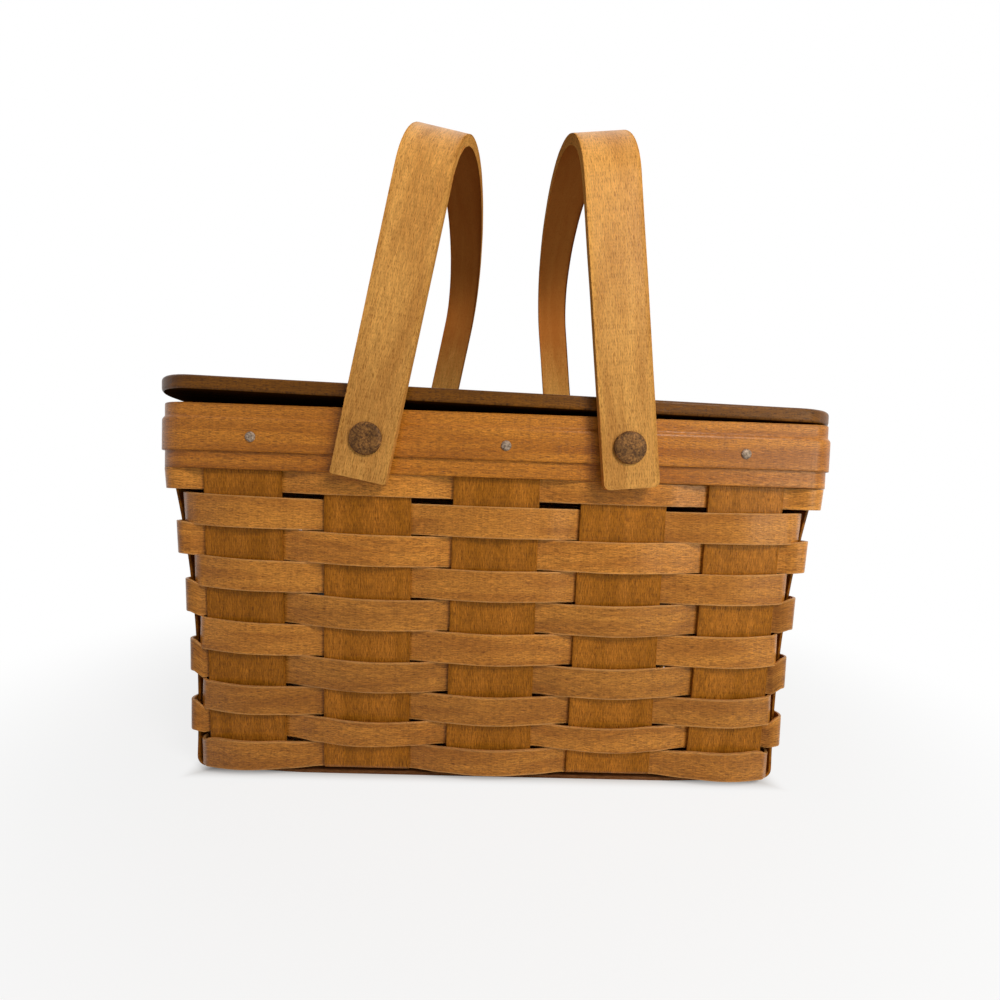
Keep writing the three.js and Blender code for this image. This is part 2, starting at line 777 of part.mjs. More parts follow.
const outerKnuckle = knuckleLength + knuckleGap;
for (const [name, x] of [['left', -hingeOffset], ['right', hingeOffset]]) {
  const hinge = new THREE.Group();
  hinge.position.set(x, seam, hingeHeight);
  basket.add(hinge);
  const brass = () => metal(0xb08d4a, 0.4);
  addPiece(`hinge_rail_leaf_${name}`, leafGeometry(1, [-outerKnuckle, outerKnuckle]), brass(), hinge);
  addPiece(`hinge_lid_leaf_${name}`, leafGeometry(-1, [0]), brass(), hinge);
  addPiece(`hinge_pin_${name}`, knuckle(pinRadius, hingeWidth, 0), brass(), hinge);
}

export default basket;
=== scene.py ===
import math
import random
from functools import partial

import bmesh
import bpy
from mathutils import Matrix, Vector


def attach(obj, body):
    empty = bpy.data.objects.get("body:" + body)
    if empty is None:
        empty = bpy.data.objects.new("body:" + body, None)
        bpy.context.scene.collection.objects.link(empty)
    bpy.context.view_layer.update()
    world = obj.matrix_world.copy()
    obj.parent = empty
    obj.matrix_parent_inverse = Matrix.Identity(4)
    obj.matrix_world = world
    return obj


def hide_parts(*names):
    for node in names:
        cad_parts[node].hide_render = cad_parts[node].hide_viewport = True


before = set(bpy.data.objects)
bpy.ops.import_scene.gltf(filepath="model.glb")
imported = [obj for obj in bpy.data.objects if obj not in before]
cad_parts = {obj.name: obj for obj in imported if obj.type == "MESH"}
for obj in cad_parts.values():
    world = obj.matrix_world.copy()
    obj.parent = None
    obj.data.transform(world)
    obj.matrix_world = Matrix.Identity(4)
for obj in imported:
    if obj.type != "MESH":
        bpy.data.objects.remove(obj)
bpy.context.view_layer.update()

mm = 0.001  # sizes below are in millimetres


def linearColour(hexText):
    # sRGB hex to linear RGBA
    parts = [int(hexText[i:i + 2], 16) / 255 for i in (0, 2, 4)]
    return [c / 12.92 if c <= 0.04045 else ((c + 0.055) / 1.055) ** 2.4 for c in parts] + [1.0]


def fillNode(tree, node, inputs):
    # an input takes a value, a socket, or a node whose first live output is linked
    for key, value in inputs.items():
        if isinstance(value, bpy.types.Node):
            value = next(socket for socket in value.outputs if socket.enabled)
        if isinstance(value, bpy.types.NodeSocket):
            tree.links.new(value, node.inputs[key])
        else:
            node.inputs[key].default_value = value


def addNode(tree, kind, inputs=None, **settings):
    node = tree.nodes.new(kind)
    for name, value in settings.items():
        setattr(node, name, value)
    fillNode(tree, node, inputs or {})
    return node


def mix(a, b, share):
    return a + (b - a) * share


def shareOf(value, start, end):
    return min(max((value - start) / (end - start), 0), 1)


def eased(share):
    return share * share * (3 - 2 * share)


def quarterTurn(steps):
    return [i / steps * math.pi / 2 for i in range(steps + 1)]


# The walls of the basket, as the solids have them
walls = {
    "rimHalf": (148.3, 90.8), "baseHalf": (132.8, 87.9),  # middle of the uprights' thickness
    "rimRadius": 9.0, "baseRadius": 3.0,
    "frontPitch": (55.25, 57.175), "endPitch": (66.45, 63.55),  # at the base and at the rim
    "flareTop": 138.8, "endFlarePower": 2.4, "outerHalf": (152.5, 95.0),
    "uprightWidth": 38.5, "outerWidth": 34.0,  # the uprights next to the corners of the front are narrower
    "frontCount": 5, "endCount": 3,
}


def wallAt(height):
    lean = shareOf(height, 0, walls["flareTop"])
    flare = lean ** walls["endFlarePower"]
    return {
        "half": (mix(walls["baseHalf"][0], walls["rimHalf"][0], flare),
                 mix(walls["baseHalf"][1], walls["rimHalf"][1], lean)),
        "radius": mix(walls["baseRadius"], walls["rimRadius"], lean),
        "frontPitch": mix(*walls["frontPitch"], lean),
        "endPitch": mix(*walls["endPitch"], lean),
    }


def frontUpright(index, pitch):
    # middle and width of an upright on the front or the back
    last = (walls["frontCount"] - 1) / 2
    offset = index - last
    trim = walls["uprightWidth"] - walls["outerWidth"] if abs(offset) == last else 0
    return offset * pitch - math.copysign(trim / 2, offset), walls["uprightWidth"] - trim


def endUpright(index, pitch):
    return (index - (walls["endCount"] - 1) / 2) * pitch, walls["uprightWidth"]


def cornerReach(wall):
    # from the middle of the front, and of an end, to the middle of a corner
    arc = math.pi / 4 * wall["radius"]
    return [half - wall["radius"] + arc for half in wall["half"]]


def aroundWall(distance, wall):
    # a point on a rounded rectangle and its outward direction, from the front middle to the right
    frontReach, endReach = cornerReach(wall)
    quarter = frontReach + endReach
    halfTurns = math.floor((distance + frontReach) / (2 * quarter))
    rest = distance - halfTurns * 2 * quarter
    onEnd = rest > frontReach
    along = rest - quarter if onEnd else rest
    length, depth = wall["half"]
    half, out = (depth, length) if onEnd else (length, depth)
    radius = wall["radius"]
    flat = half - radius
    angle = max(abs(along) - flat, 0) / radius
    sign = math.copysign(1, along)
    normal = Vector((sign * math.sin(angle), -math.cos(angle)))
    point = Vector((sign * min(abs(along), flat), -(out - radius))) + normal * radius
    turn = Matrix.Rotation((2 * halfTurns + onEnd) * math.pi / 2, 2)
    return turn @ point, turn @ normal


def outwardAt(normal, height):
    # the wall's outward direction in space: it looks down a little where the wall leans out
    low, high = wallAt(height - 1)["half"], wallAt(height + 1)["half"]
    slope = (high[0] - low[0]) / 2 * normal.x ** 2 + (high[1] - low[1]) / 2 * normal.y ** 2
    return Vector((normal.x, normal.y, -slope)).normalized()


# Materials; the colours of a Mix node are its inputs 6 and 7
def newMaterial(name):
    material = bpy.data.materials.new(name)
    material.use_nodes = True
    return material, material.node_tree, material.node_tree.nodes["Principled BSDF"]


def woodFinish(name, look):
    # fine fibre and short dark pores that waver along the grain, a slow drift of tone, and a colour at the edges:
    # darker on the uprights and rim, paler on the weavers (partly a painted highlight), painted shade inside the
    # handles
    material, tree, surface = newMaterial(name)
    add = partial(addNode, tree)
    straight, tone, edge = [
        add("ShaderNodeAttribute", attribute_name=label).outputs[output]
        for label, output in (("grain", "Vector"), ("tone", "Fac"), ("edge", "Fac"))]

    def stretched(size, source):
        along, across = (1 / (part * mm) for part in size)
        return add("ShaderNodeVectorMath", {0: source, 1: (along, across, across)}, operation="MULTIPLY")

    sway = add("ShaderNodeTexNoise", {"Vector": stretched(look["swaySize"], straight), "Scale": 1.0, "Detail": 1.0})
    centred = add("ShaderNodeVectorMath", {0: sway.outputs["Color"], 1: (0.5, 0.5, 0.5)}, operation="SUBTRACT")
    grain = add("ShaderNodeVectorMath", {
        0: centred, 1: (0, look["sway"] * mm, 0), 2: straight}, operation="MULTIPLY_ADD")

    drift = add("ShaderNodeTexNoise", {
        "Vector": stretched(look["drift"], grain), "Scale": 1.0, "Detail": 3.0, "Roughness": 0.55,
        "Distortion": 0.4})
    driftShare = add("ShaderNodeMapRange", {
        "Value": drift, "From Min": 0.3, "From Max": 0.7}, interpolation_type="SMOOTHSTEP")
    base = add("ShaderNodeMix", {
        0: driftShare, 6: linearColour(look["dark"]), 7: linearColour(look["light"])}, data_type="RGBA")

    fibre = add("ShaderNodeTexNoise", {
        "Vector": stretched(look["fibre"], grain), "Scale": 1.0, "Detail": 2.5, "Roughness": 0.6})
    fibreShade = add("ShaderNodeMapRange", {
        "Value": fibre, "From Min": 0.25, "From Max": 0.75,
        "To Min": 1 - look["fibreDepth"], "To Max": 1 + look["fibreDepth"]})
    wood = add("ShaderNodeMix", {0: 1.0, 6: base, 7: fibreShade}, data_type="RGBA", blend_type="MULTIPLY")

    hollow = 0.0
    for along, across, kept, depth in look["pores"]:
        cells = add("ShaderNodeTexVoronoi", {
            "Vector": stretched((along, across), grain), "Scale": 1.0, "Randomness": 1.0},
            feature="F1", voronoi_dimensions="2D")
        spot = add("ShaderNodeMapRange", {
            "Value": cells, "From Min": 0.46, "From Max": 0.18}, interpolation_type="SMOOTHSTEP")
        lot = add("ShaderNodeSeparateColor", {0: cells.outputs["Color"]})
        chosen = add("ShaderNodeMapRange", {"Value": lot, "From Min": 1 - kept, "From Max": 1.0})
        pore = add("ShaderNodeMath", {0: spot, 1: chosen}, operation="MULTIPLY")
        share = add("ShaderNodeMath", {0: pore, 1: depth}, operation="MULTIPLY")
        wood = add("ShaderNodeMix", {0: share, 6: wood, 7: linearColour(look["poreColour"])}, data_type="RGBA")
        hollow = add("ShaderNodeMath", {0: share, 1: hollow}, operation="ADD")

    toneShade = add("ShaderNodeMapRange", {
        "Value": tone, "To Min": 1 - look["toneSpread"], "To Max": 1 + look["toneSpread"]})
    toned = add("ShaderNodeMix", {0: 1.0, 6: wood, 7: toneShade}, data_type="RGBA", blend_type="MULTIPLY")

    # the edge colour: a partly painted highlight on the weavers, painted shade inside the handles, darker edges on
    # the uprights and rim
    edgeSoilAndLightNoise = add("ShaderNodeTexNoise", {
        "Vector": stretched(look["edgeSoilAndLightSize"], grain), "Scale": 1.0, "Detail": 2.0})
    edgeSoilAndLightReach = add("ShaderNodeMath", {0: edgeSoilAndLightNoise, 1: look["edgeSoilAndLightWander"], 2: edge}, operation="MULTIPLY_ADD")
    edgeSoilAndPaintedLight = add("ShaderNodeMapRange", {
        "Value": edgeSoilAndLightReach, "From Min": 0.92, "From Max": 1.1, "To Max": look["edgeDepth"]},
        interpolation_type="SMOOTHSTEP")
    edgeSoiledAndPaintedLight = add("ShaderNodeMix", {0: edgeSoilAndPaintedLight, 6: toned, 7: linearColour(look["edgeColour"])}, data_type="RGBA")

    rough = add("ShaderNodeMapRange", {"Value": fibre, "To Min": look["rough"][1], "To Max": look["rough"][0]})
    relief = add("ShaderNodeMath", {0: hollow, 1: -look["poreSink"], 2: fibre}, operation="MULTIPLY_ADD")
    bump = add("ShaderNodeBump", {"Strength": look["bump"], "Distance": look["bumpHeight"] * mm, "Height": relief})
    dull = add("ShaderNodeMapRange", {
        "Value": edge, "From Min": look["dull"][0], "From Max": look["dull"][1],
        "To Min": look["gloss"], "To Max": 0.0})
    fillNode(tree, surface, {
        "Base Color": edgeSoiledAndPaintedLight, "Roughness": rough, "Normal": bump, "IOR": 1.5, "Specular IOR Level": dull})
    return material


def metalFinish(name, look):
    # blotches of tarnish over the bare metal, and small dents
    material, tree, surface = newMaterial(name)
    add = partial(addNode, tree)
    place = add("ShaderNodeTexCoord").outputs["Object"]
    blotch = add("ShaderNodeTexNoise", {
        "Vector": place, "Scale": 1 / (look["blotch"] * mm), "Detail": 6.0, "Roughness": 0.72})
    share = add("ShaderNodeMapRange", {
        "Value": blotch, "From Min": 0.36, "From Max": 0.66}, interpolation_type="SMOOTHSTEP")
    colour = add("ShaderNodeMix", {
        0: share, 6: linearColour(look["dark"]), 7: linearColour(look["light"])}, data_type="RGBA")
    cloud = add("ShaderNodeTexNoise", {"Vector": place, "Scale": 1 / (look["cloud"][0] * mm), "Detail": 2.0})
    dim = add("ShaderNodeMapRange", {
        "Value": cloud, "From Min": 0.35, "From Max": 0.6, "To Min": look["cloud"][1], "To Max": 1.0},
        interpolation_type="SMOOTHSTEP")
    dimmed = add("ShaderNodeMix", {0: 1.0, 6: colour, 7: dim}, data_type="RGBA", blend_type="MULTIPLY")
    rough = add("ShaderNodeMapRange", {"Value": blotch, "To Min": look["rough"][1], "To Max": look["rough"][0]})
    dents = add("ShaderNodeTexNoise", {"Vector": place, "Scale": 1 / (look["dent"] * mm), "Detail": 3.0})
    bump = add("ShaderNodeBump", {"Strength": 0.5, "Distance": 0.15 * mm, "Height": dents})
    fillNode(tree, surface, {
        "Base Color": dimmed, "Roughness": rough, "Normal": bump,
        "Metallic": look["metallic"], "Specular IOR Level": look["gloss"]})
    return material


# Sliced beech, oiled to a honey brown: pores a millimetre or two long show as dark dashes
splintLook = {
    "light": "C68133", "dark": "A66624", "drift": (60, 7), "sway": 1.6, "swaySize": (16, 7),
    "fibre": (3.2, 0.42), "fibreDepth": 0.5, "toneSpread": 0.17,
    "pores": ((1.3, 0.42, 0.9, 0.55), (2.8, 0.5, 0.35, 0.65)), "poreColour": "5E2E06", "poreSink": 1.2,
    # the pale edge colour is partly raw cut wood and partly a painted highlight along the strips' edges
    "edgeColour": "DCA468", "edgeDepth": 0.6, "edgeSoilAndLightSize": (14, 6), "edgeSoilAndLightWander": 0.12,
    "rough": (0.25, 0.42), "bump": 0.7, "bumpHeight": 0.06, "gloss": 0.2,
    "dull": (0.9, 1.1),  # the gloss goes towards the edge
}
weaverWood = woodFinish("honey beech weaver", splintLook)
uprightWood = woodFinish("honey beech upright", {
    **splintLook, "light": "B06C21", "dark": "995C13", "drift": (90, 9), "edgeColour": "5A340E",
    "edgeDepth": 0.3, "toneSpread": 0.05, "gloss": 0.1})
rimWood = woodFinish("honey beech rim", {
    **splintLook, "light": "C67C28", "dark": "A05C16", "drift": (110, 7), "sway": 1.5,
    "edgeColour": "6A3E12", "edgeDepth": 0.4, "toneSpread": 0.06, "gloss": 0.25})
handleWood = woodFinish("bent beech handle", {
    **splintLook, "light": "E4A556", "dark": "C48742", "drift": (70, 10), "sway": 1.5, "fibre": (4.0, 0.45),
    "fibreDepth": 0.3, "pores": ((1.4, 0.42, 0.85, 0.5), (3.0, 0.55, 0.35, 0.6)), "poreColour": "7E4212",
    # this edge colour is painted shade on the inside of the arch
    "edgeColour": "B16327", "edgeDepth": 0.8, "toneSpread": 0.4, "gloss": 0.1, "dull": (0.75, 0.88)})
# Walnut stain over a planed board: dark and nearly even
lidLook = {
    **splintLook, "light": "7E4C12", "dark": "60380A", "drift": (140, 8), "sway": 1.5, "fibre": (5, 0.5),
    "fibreDepth": 0.4, "poreColour": "241206", "edgeDepth": 0.0, "gloss": 0.14}
lidWood = woodFinish("stained lid board", lidLook)
# The board's underside: painted shade, and dull, as it was never rubbed
lidUnderside = woodFinish("stained lid underside", {
    **lidLook, "light": "3A2006", "dark": "281604", "rough": (0.8, 0.95), "gloss": 0.0})
# Left from the saw, with a furry face and no oil
runnerWood = woodFinish("rough sawn runner", {
    **splintLook, "light": "7C5030", "dark": "5E3A20", "drift": (60, 4),
    "edgeDepth": 0.0, "rough": (0.65, 0.85), "bump": 0.9, "gloss": 0.05})
# Hammered copper with a brown skin
rivetCopper = metalFinish("browned copper", {
    "light": "A06E3A", "dark": "4C301C", "blotch": 0.8, "cloud": (4.5, 0.6), "dent": 1.3,
    "rough": (0.45, 0.65), "metallic": 0.15, "gloss": 0.15})
# Cut steel tacks, dull with grey oxide
tackSteel = metalFinish("dull steel", {
    "light": "C0A894", "dark": "786452", "blotch": 0.8, "cloud": (2.0, 0.7), "dent": 0.9,
    "rough": (0.5, 0.7), "metallic": 0.4, "gloss": 0.2})
# Pressed brass that has gone brown
hingeBrass = metalFinish("aged brass", {
    "light": "A8864A", "dark": "74582C", "blotch": 3.5, "cloud": (12.0, 0.7), "dent": 5.0,
    "rough": (0.42, 0.62), "metallic": 0.7, "gloss": 0.3})
print("materials made")


# Sweeps and repeats in Geometry Nodes
seedGap = 0.731  # each seed has its own part of the noise


def startTree(name, sockets):
    tree = bpy.data.node_groups.new(name, "GeometryNodeTree")
    for label, kind in sockets:
        tree.interface.new_socket(label, in_out="INPUT", socket_type=f"NodeSocket{kind}")
    tree.interface.new_socket("Geometry", in_out="OUTPUT", socket_type="NodeSocketGeometry")
    return tree, addNode(tree, "NodeGroupInput").outputs


def endTree(tree, shape, material):
    real = addNode(tree, "GeometryNodeRealizeInstances", {"Geometry": shape})
    done = addNode(tree, "GeometryNodeSetMaterial", {"Geometry": real, "Material": material})
    addNode(tree, "NodeGroupOutput", {0: done})
    return tree


def buildSplintTree():
    # a flat strip along a path whose points know which way is outwards
    tree, given = startTree("splint along a path", (
        ("Geometry", "Geometry"), ("Width", "Float"), ("Lines Across", "Int"), ("Step", "Float"),
        ("Step Low", "Float"), ("Step High", "Float"), ("Wobble", "Float"), ("Seed", "Int"), ("Tone", "Float"),
        ("Material", "Material")))
    add = partial(addNode, tree)
    stored = {
        label: add("GeometryNodeInputNamedAttribute", {"Name": label}, data_type=kind)
        for label, kind in (("outward", "FLOAT_VECTOR"), ("breadth", "FLOAT"), ("lift", "FLOAT"),
                            ("along", "FLOAT"), ("across", "FLOAT"))}
    place = add("GeometryNodeInputPosition")
    curve = add("GeometryNodeMeshToCurve", {"Mesh": given["Geometry"]})
    facing = add("GeometryNodeSetCurveNormal", {"Curve": curve, "Normal": stored["outward"]}, mode="FREE")
    length = add("GeometryNodeSplineParameter").outputs["Length"]
    measured = add("GeometryNodeStoreNamedAttribute", {
        "Geometry": facing, "Name": "along", "Value": length}, data_type="FLOAT", domain="POINT")

    half = add("ShaderNodeMath", {0: given["Width"], 1: 0.5}, operation="MULTIPLY")
    otherHalf = add("ShaderNodeMath", {0: half, 1: -1.0}, operation="MULTIPLY")
    line = add("GeometryNodeCurvePrimitiveLine", {
        "Start": add("ShaderNodeCombineXYZ", {1: otherHalf}),
        "End": add("ShaderNodeCombineXYZ", {1: half})})
    section = add("GeometryNodeResampleCurve", {"Curve": line, "Count": given["Lines Across"]})
    across = add("ShaderNodeSeparateXYZ", {0: place}).outputs["Y"]
    share = add("ShaderNodeMath", {0: across, 1: half}, operation="DIVIDE")
    edge = add("ShaderNodeMath", {0: share}, operation="ABSOLUTE")
    sunk = add("ShaderNodeMath", {0: given["Step"], 1: -1.0}, operation="MULTIPLY")
    step = add("ShaderNodeMapRange", {
        "Value": across, "From Min": given["Step Low"], "From Max": given["Step High"], "To Max": sunk},
        interpolation_type="SMOOTHSTEP")
    for label, value in (("across", across), ("edge", edge)):
        section = add("GeometryNodeStoreNamedAttribute", {
            "Geometry": section, "Name": label, "Value": value}, data_type="FLOAT", domain="POINT")
    shaped = add("GeometryNodeSetPosition", {"Geometry": section, "Offset": add("ShaderNodeCombineXYZ", {0: step})})
    swept = add("GeometryNodeCurveToMesh", {"Curve": measured, "Profile Curve": shaped, "Scale": stored["breadth"]})

    apart = add("ShaderNodeMath", {0: given["Seed"], 1: seedGap}, operation="MULTIPLY")
    spot = add("ShaderNodeVectorMath", {0: place, 1: apart}, operation="ADD")
    noise = add("ShaderNodeTexNoise", {"Vector": spot, "Scale": 38.0, "Detail": 1.0})
    centred = add("ShaderNodeVectorMath", {0: noise.outputs["Color"], 1: (0.5, 0.5, 0.5)}, operation="SUBTRACT")
    push = add("ShaderNodeVectorMath", {0: centred, "Scale": given["Wobble"]}, operation="SCALE")
    lifted = add("GeometryNodeSetPosition", {
        "Geometry": swept, "Offset": add("ShaderNodeCombineXYZ", {2: stored["lift"]})})
    strip = add("GeometryNodeSetPosition", {"Geometry": lifted, "Offset": push})

    flat = add("ShaderNodeCombineXYZ", {0: stored["along"], 1: stored["across"]})
    grain = add("ShaderNodeVectorMath", {0: flat, 1: apart}, operation="ADD")
    for label, kind, value in (("grain", "FLOAT_VECTOR", grain), ("tone", "FLOAT", given["Tone"])):
        strip = add("GeometryNodeStoreNamedAttribute", {
            "Geometry": strip, "Name": label, "Value": value}, data_type=kind, domain="POINT")
    smooth = add("GeometryNodeSetShadeSmooth", {"Geometry": strip})
    return endTree(tree, smooth, given["Material"])


def buildFastenerTree():
    # one turned head on each point, facing outwards, each with its own twist
    tree, given = startTree("fasteners on points", (
        ("Geometry", "Geometry"), ("Fastener", "Object"), ("Size Spread", "Float"), ("Seed", "Int"),
        ("Material", "Material")))
    add = partial(addNode, tree)
    outward = add("GeometryNodeInputNamedAttribute", {"Name": "outward"}, data_type="FLOAT_VECTOR")
    facing = add("FunctionNodeAlignRotationToVector", {"Vector": outward}, axis="Z")
    twist = add("FunctionNodeRandomValue", {2: 0.0, 3: 2 * math.pi, "Seed": given["Seed"]}, data_type="FLOAT")
    spin = add("FunctionNodeAxisAngleToRotation", {"Axis": (0.0, 0.0, 1.0), "Angle": twist})
    turned = add("FunctionNodeRotateRotation", {0: facing, 1: spin}, rotation_space="LOCAL")
    small = add("ShaderNodeMath", {0: 1.0, 1: given["Size Spread"]}, operation="SUBTRACT")
    size = add("FunctionNodeRandomValue", {2: small, 3: 1.0, "Seed": given["Seed"]}, data_type="FLOAT")
    head = add("GeometryNodeObjectInfo", {"Object": given["Fastener"]})
    placed = add("GeometryNodeInstanceOnPoints", {
        "Points": given["Geometry"], "Instance": head.outputs["Geometry"], "Rotation": turned, "Scale": size})
    return endTree(tree, placed, given["Material"])


splintTree = buildSplintTree()
fastenerTree = buildFastenerTree()


def linkObject(name, data):
    piece = bpy.data.objects.new(name, data)
    bpy.context.scene.collection.objects.link(piece)
    return piece


def discard(piece):
    mesh = piece.data
    bpy.data.objects.remove(piece)
    bpy.data.meshes.remove(mesh)


def plainMesh(maker):
    # the evaluated shape as a plain mesh; the maker and its modifiers go
    depsgraph = bpy.context.evaluated_depsgraph_get()
    mesh = bpy.data.meshes.new_from_object(maker.evaluated_get(depsgraph), depsgraph=depsgraph)
    name = maker.name
    discard(maker)
    mesh.name = name
    return linkObject(name, mesh)


def meshFrom(shape, name):
    mesh = bpy.data.meshes.new(name)
    shape.to_mesh(mesh)
    shape.free()
    return mesh


def addTree(maker, tree, values):
    modifier = maker.modifiers.new(tree.name, "NODES")
    modifier.node_group = tree
    for item in tree.interface.items_tree:
        if item.name in values:
            modifier[item.identifier] = values[item.name]


sharpAngle = 40  # edges sharper than this are eased


def easeEdges(maker, width, segments=2):
    bevel = maker.modifiers.new("eased edges", "BEVEL")
    bevel.width = width * mm
    bevel.segments = segments
    bevel.limit_method = "ANGLE"
    bevel.angle_limit = math.radians(sharpAngle)
    bevel.harden_normals = True


def storeOn(mesh, label, values):
    # one value, or one direction, for each point of the mesh
    if isinstance(values[0], (int, float)):
        mesh.attributes.new(label, "FLOAT", "POINT").data.foreach_set("value", values)
    else:
        flat = [part for value in values for part in value]
        mesh.attributes.new(label, "FLOAT_VECTOR", "POINT").data.foreach_set("vector", flat)


def sweepSplint(name, spots, strip, material, seed, tone):
    # spots are (point, outward, breadth, lift), in millimetres; the lift moves the strip up without a twist
    mesh = bpy.data.meshes.new(name)
    links = [(i, i + 1) for i in range(len(spots) - 1)]
    mesh.from_pydata([Vector(spot[0]) * mm for spot in spots], links, [])
    storeOn(mesh, "outward", [spot[1] for spot in spots])
    storeOn(mesh, "breadth", [spot[2] for spot in spots])
    storeOn(mesh, "lift", [spot[3] * mm for spot in spots])
    maker = linkObject(name, mesh)
    addTree(maker, splintTree, {
        "Width": strip["width"] * mm, "Lines Across": strip["lines"], "Step": strip.get("step", 0) * mm,
        "Step Low": strip.get("stepLow", 0) * mm, "Step High": strip.get("stepHigh", 1) * mm,
        "Wobble": strip["wobble"] * mm, "Seed": seed, "Tone": tone, "Material": material})
    wall = maker.modifiers.new("thickness", "SOLIDIFY")
    wall.thickness = strip["thickness"] * mm
    wall.offset = 0
    wall.use_even_offset = True
    easeEdges(maker, strip["ease"], strip.get("easeSteps", 2))
    return plainMesh(maker)


def finishPiece(piece, body, slot, *nodes):
    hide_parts(*nodes)
    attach(piece, body)


# Uprights: five go across under the bottom and three along it
uprights = {
    "thickness": 1.2, "lines": 8, "wobble": 0.25, "ease": 0.25, "seed": 3, "acrossSeed": 10, "alongSeed": 20,
    "bendRadius": 2.4, "endBendRadius": 4.0, "bendSteps": 6, "stepUp": 7.0, "top": 164.0,
    "low": 2.5, "middle": 4.0, "high": 5.5,  # levels in the bottom
    "acrossReach": 78, "acrossPitch": 12, "alongReach": 126, "alongPitch": 4,
    "swingFrom": 0.348, "swingTo": 0.652,  # the edges of two neighbours, in shares of the pitch
}
chance = random.Random(uprights["seed"])


def wallRise(level, radius, reachAt, shiftAt):
    # half a course: out of the bottom, round the bend and up the wall
    foot = reachAt(level + radius) - radius
    course = [(foot + radius * math.sin(angle), level + radius * (1 - math.cos(angle)),
               math.sin(angle), -math.cos(angle), shiftAt(0)) for angle in quarterTurn(uprights["bendSteps"])]
    count = math.ceil((uprights["top"] - level - radius) / uprights["stepUp"])
    for stepIndex in range(1, count + 1):
        height = mix(level + radius, uprights["top"], stepIndex / count)
        lean = (reachAt(height + 1) - reachAt(height - 1)) / 2
        course.append((reachAt(height), height, math.cos(lean), -math.sin(lean), shiftAt(height)))
    return course


def wholeCourse(half, bottom):
    mirrored = [(-out, height, -sideways, down, shift) for out, height, sideways, down, shift in reversed(half)]
    return mirrored + bottom + half


for index in range(walls["frontCount"]):
    strip = {**uprights, "width": frontUpright(index, 0)[1]}
    half = wallRise(uprights["middle"], uprights["bendRadius"], lambda z: wallAt(z)["half"][1],
                    lambda z: frontUpright(index, wallAt(z)["frontPitch"])[0])
    reach = uprights["acrossReach"]
    bottom = [(out, uprights["middle"], 0, -1, half[0][4])
              for out in range(-reach, reach + 1, uprights["acrossPitch"])]
    spots = [(Vector((shift, out, height)), Vector((0, sideways, down)), 1.0, 0.0)
             for out, height, sideways, down, shift in wholeCourse(half, bottom)]
    piece = sweepSplint(f"upright_across_{index + 1}", spots, strip, uprightWood,
                        uprights["acrossSeed"] + index, chance.random())
    finishPiece(piece, "basket", "upright_splint", f"cross_splint_{index + 1}")

for index in range(walls["endCount"]):
    strip = {**uprights, "width": walls["uprightWidth"]}
    levels = [uprights["high" if (index + crossing) % 2 else "low"] for crossing in range(walls["frontCount"])]
    half = wallRise(levels[0], uprights["endBendRadius"], lambda z: wallAt(z)["half"][0],
                    lambda z: endUpright(index, wallAt(z)["endPitch"])[0])
    reach = uprights["alongReach"]
    bottom = []
    for out in range(-reach, reach + 1, uprights["alongPitch"]):
        place = out / walls["frontPitch"][0] + (walls["frontCount"] - 1) / 2  # 0 to 4 over the crossing splints
        left = min(max(math.floor(place), 0), walls["frontCount"] - 2)
        swing = shareOf(place - left, uprights["swingFrom"], uprights["swingTo"])
        bottom.append((out, mix(levels[left], levels[left + 1], eased(swing)), 0, -1, half[0][4]))
    spots = [(Vector((out, shift, height)), Vector((sideways, 0, down)), 1.0, 0.0)
             for out, height, sideways, down, shift in wholeCourse(half, bottom)]
    piece = sweepSplint(f"upright_along_{index + 1}", spots, strip, uprightWood,
                        uprights["alongSeed"] + index, chance.random())
    finishPiece(piece, "basket", "upright_splint", f"long_splint_{index + 1}")
print("uprights woven")

# Weavers: ten strips, each once round, with the ends lapped inside at the back
weavers = {
    "thickness": 1.1, "lines": 4, "wobble": 0.3, "ease": 0.25, "seed": 8, "stripSeed": 40,
    "spans": ((128.5, 138.65), (112.0, 126.0), (97.6, 111.6), (83.3, 97.3), (69.0, 83.0),  # lower and upper edges,
              (54.4, 68.7), (40.5, 54.3), (27.3, 40.2), (16.0, 27.0), (4.1, 15.7)),  # from the rim down
    "tones": (0.85, 0.65, 0.83, 0.59, 0.22, 0.63, 0.0, 0.15, 0.41, 0.28),  # darker towards the bottom: partly painted shade where the light falls off, partly each strip's own tone
    "toneChance": 0.1, "edgeOffset": 1.45, "endEdgeOffset": 2.0, "cornerOffset": 2.4, "topCorner": 2.0,
    "bow": 3.6, "topBow": 1.7, "bowChance": 0.06,
    "endLean": 0.3,  # the strips stand steeper than the ends of the basket
    "lap": 1.25, "lapEase": 15, "lapStations": (9, 10),  # inside the back, on even and odd rows
    "leftRise": 4.4, "rightRise": 3.4, "riseFrom": 35.0, "risePower": 1.6, "topRise": 0.2,
    "swellShift": 0.06, "swellPower": 0.6, "rightSpread": 1.1, "proudAt": 2,
    "tabGrowth": 0.04, "tabRise": (0.9, 2.5, 4.2, 3.2), "lastTabGrowth": 0.25, "footGrowth": 0.2,
    "waver": 0.18, "waverLength": 61, "phases": 6, "cornerMargin": 6, "cornerPitch": 0.6, "pitch": 2.6,
}
lastRow = len(weavers["spans"])
chance = random.Random(weavers["seed"])


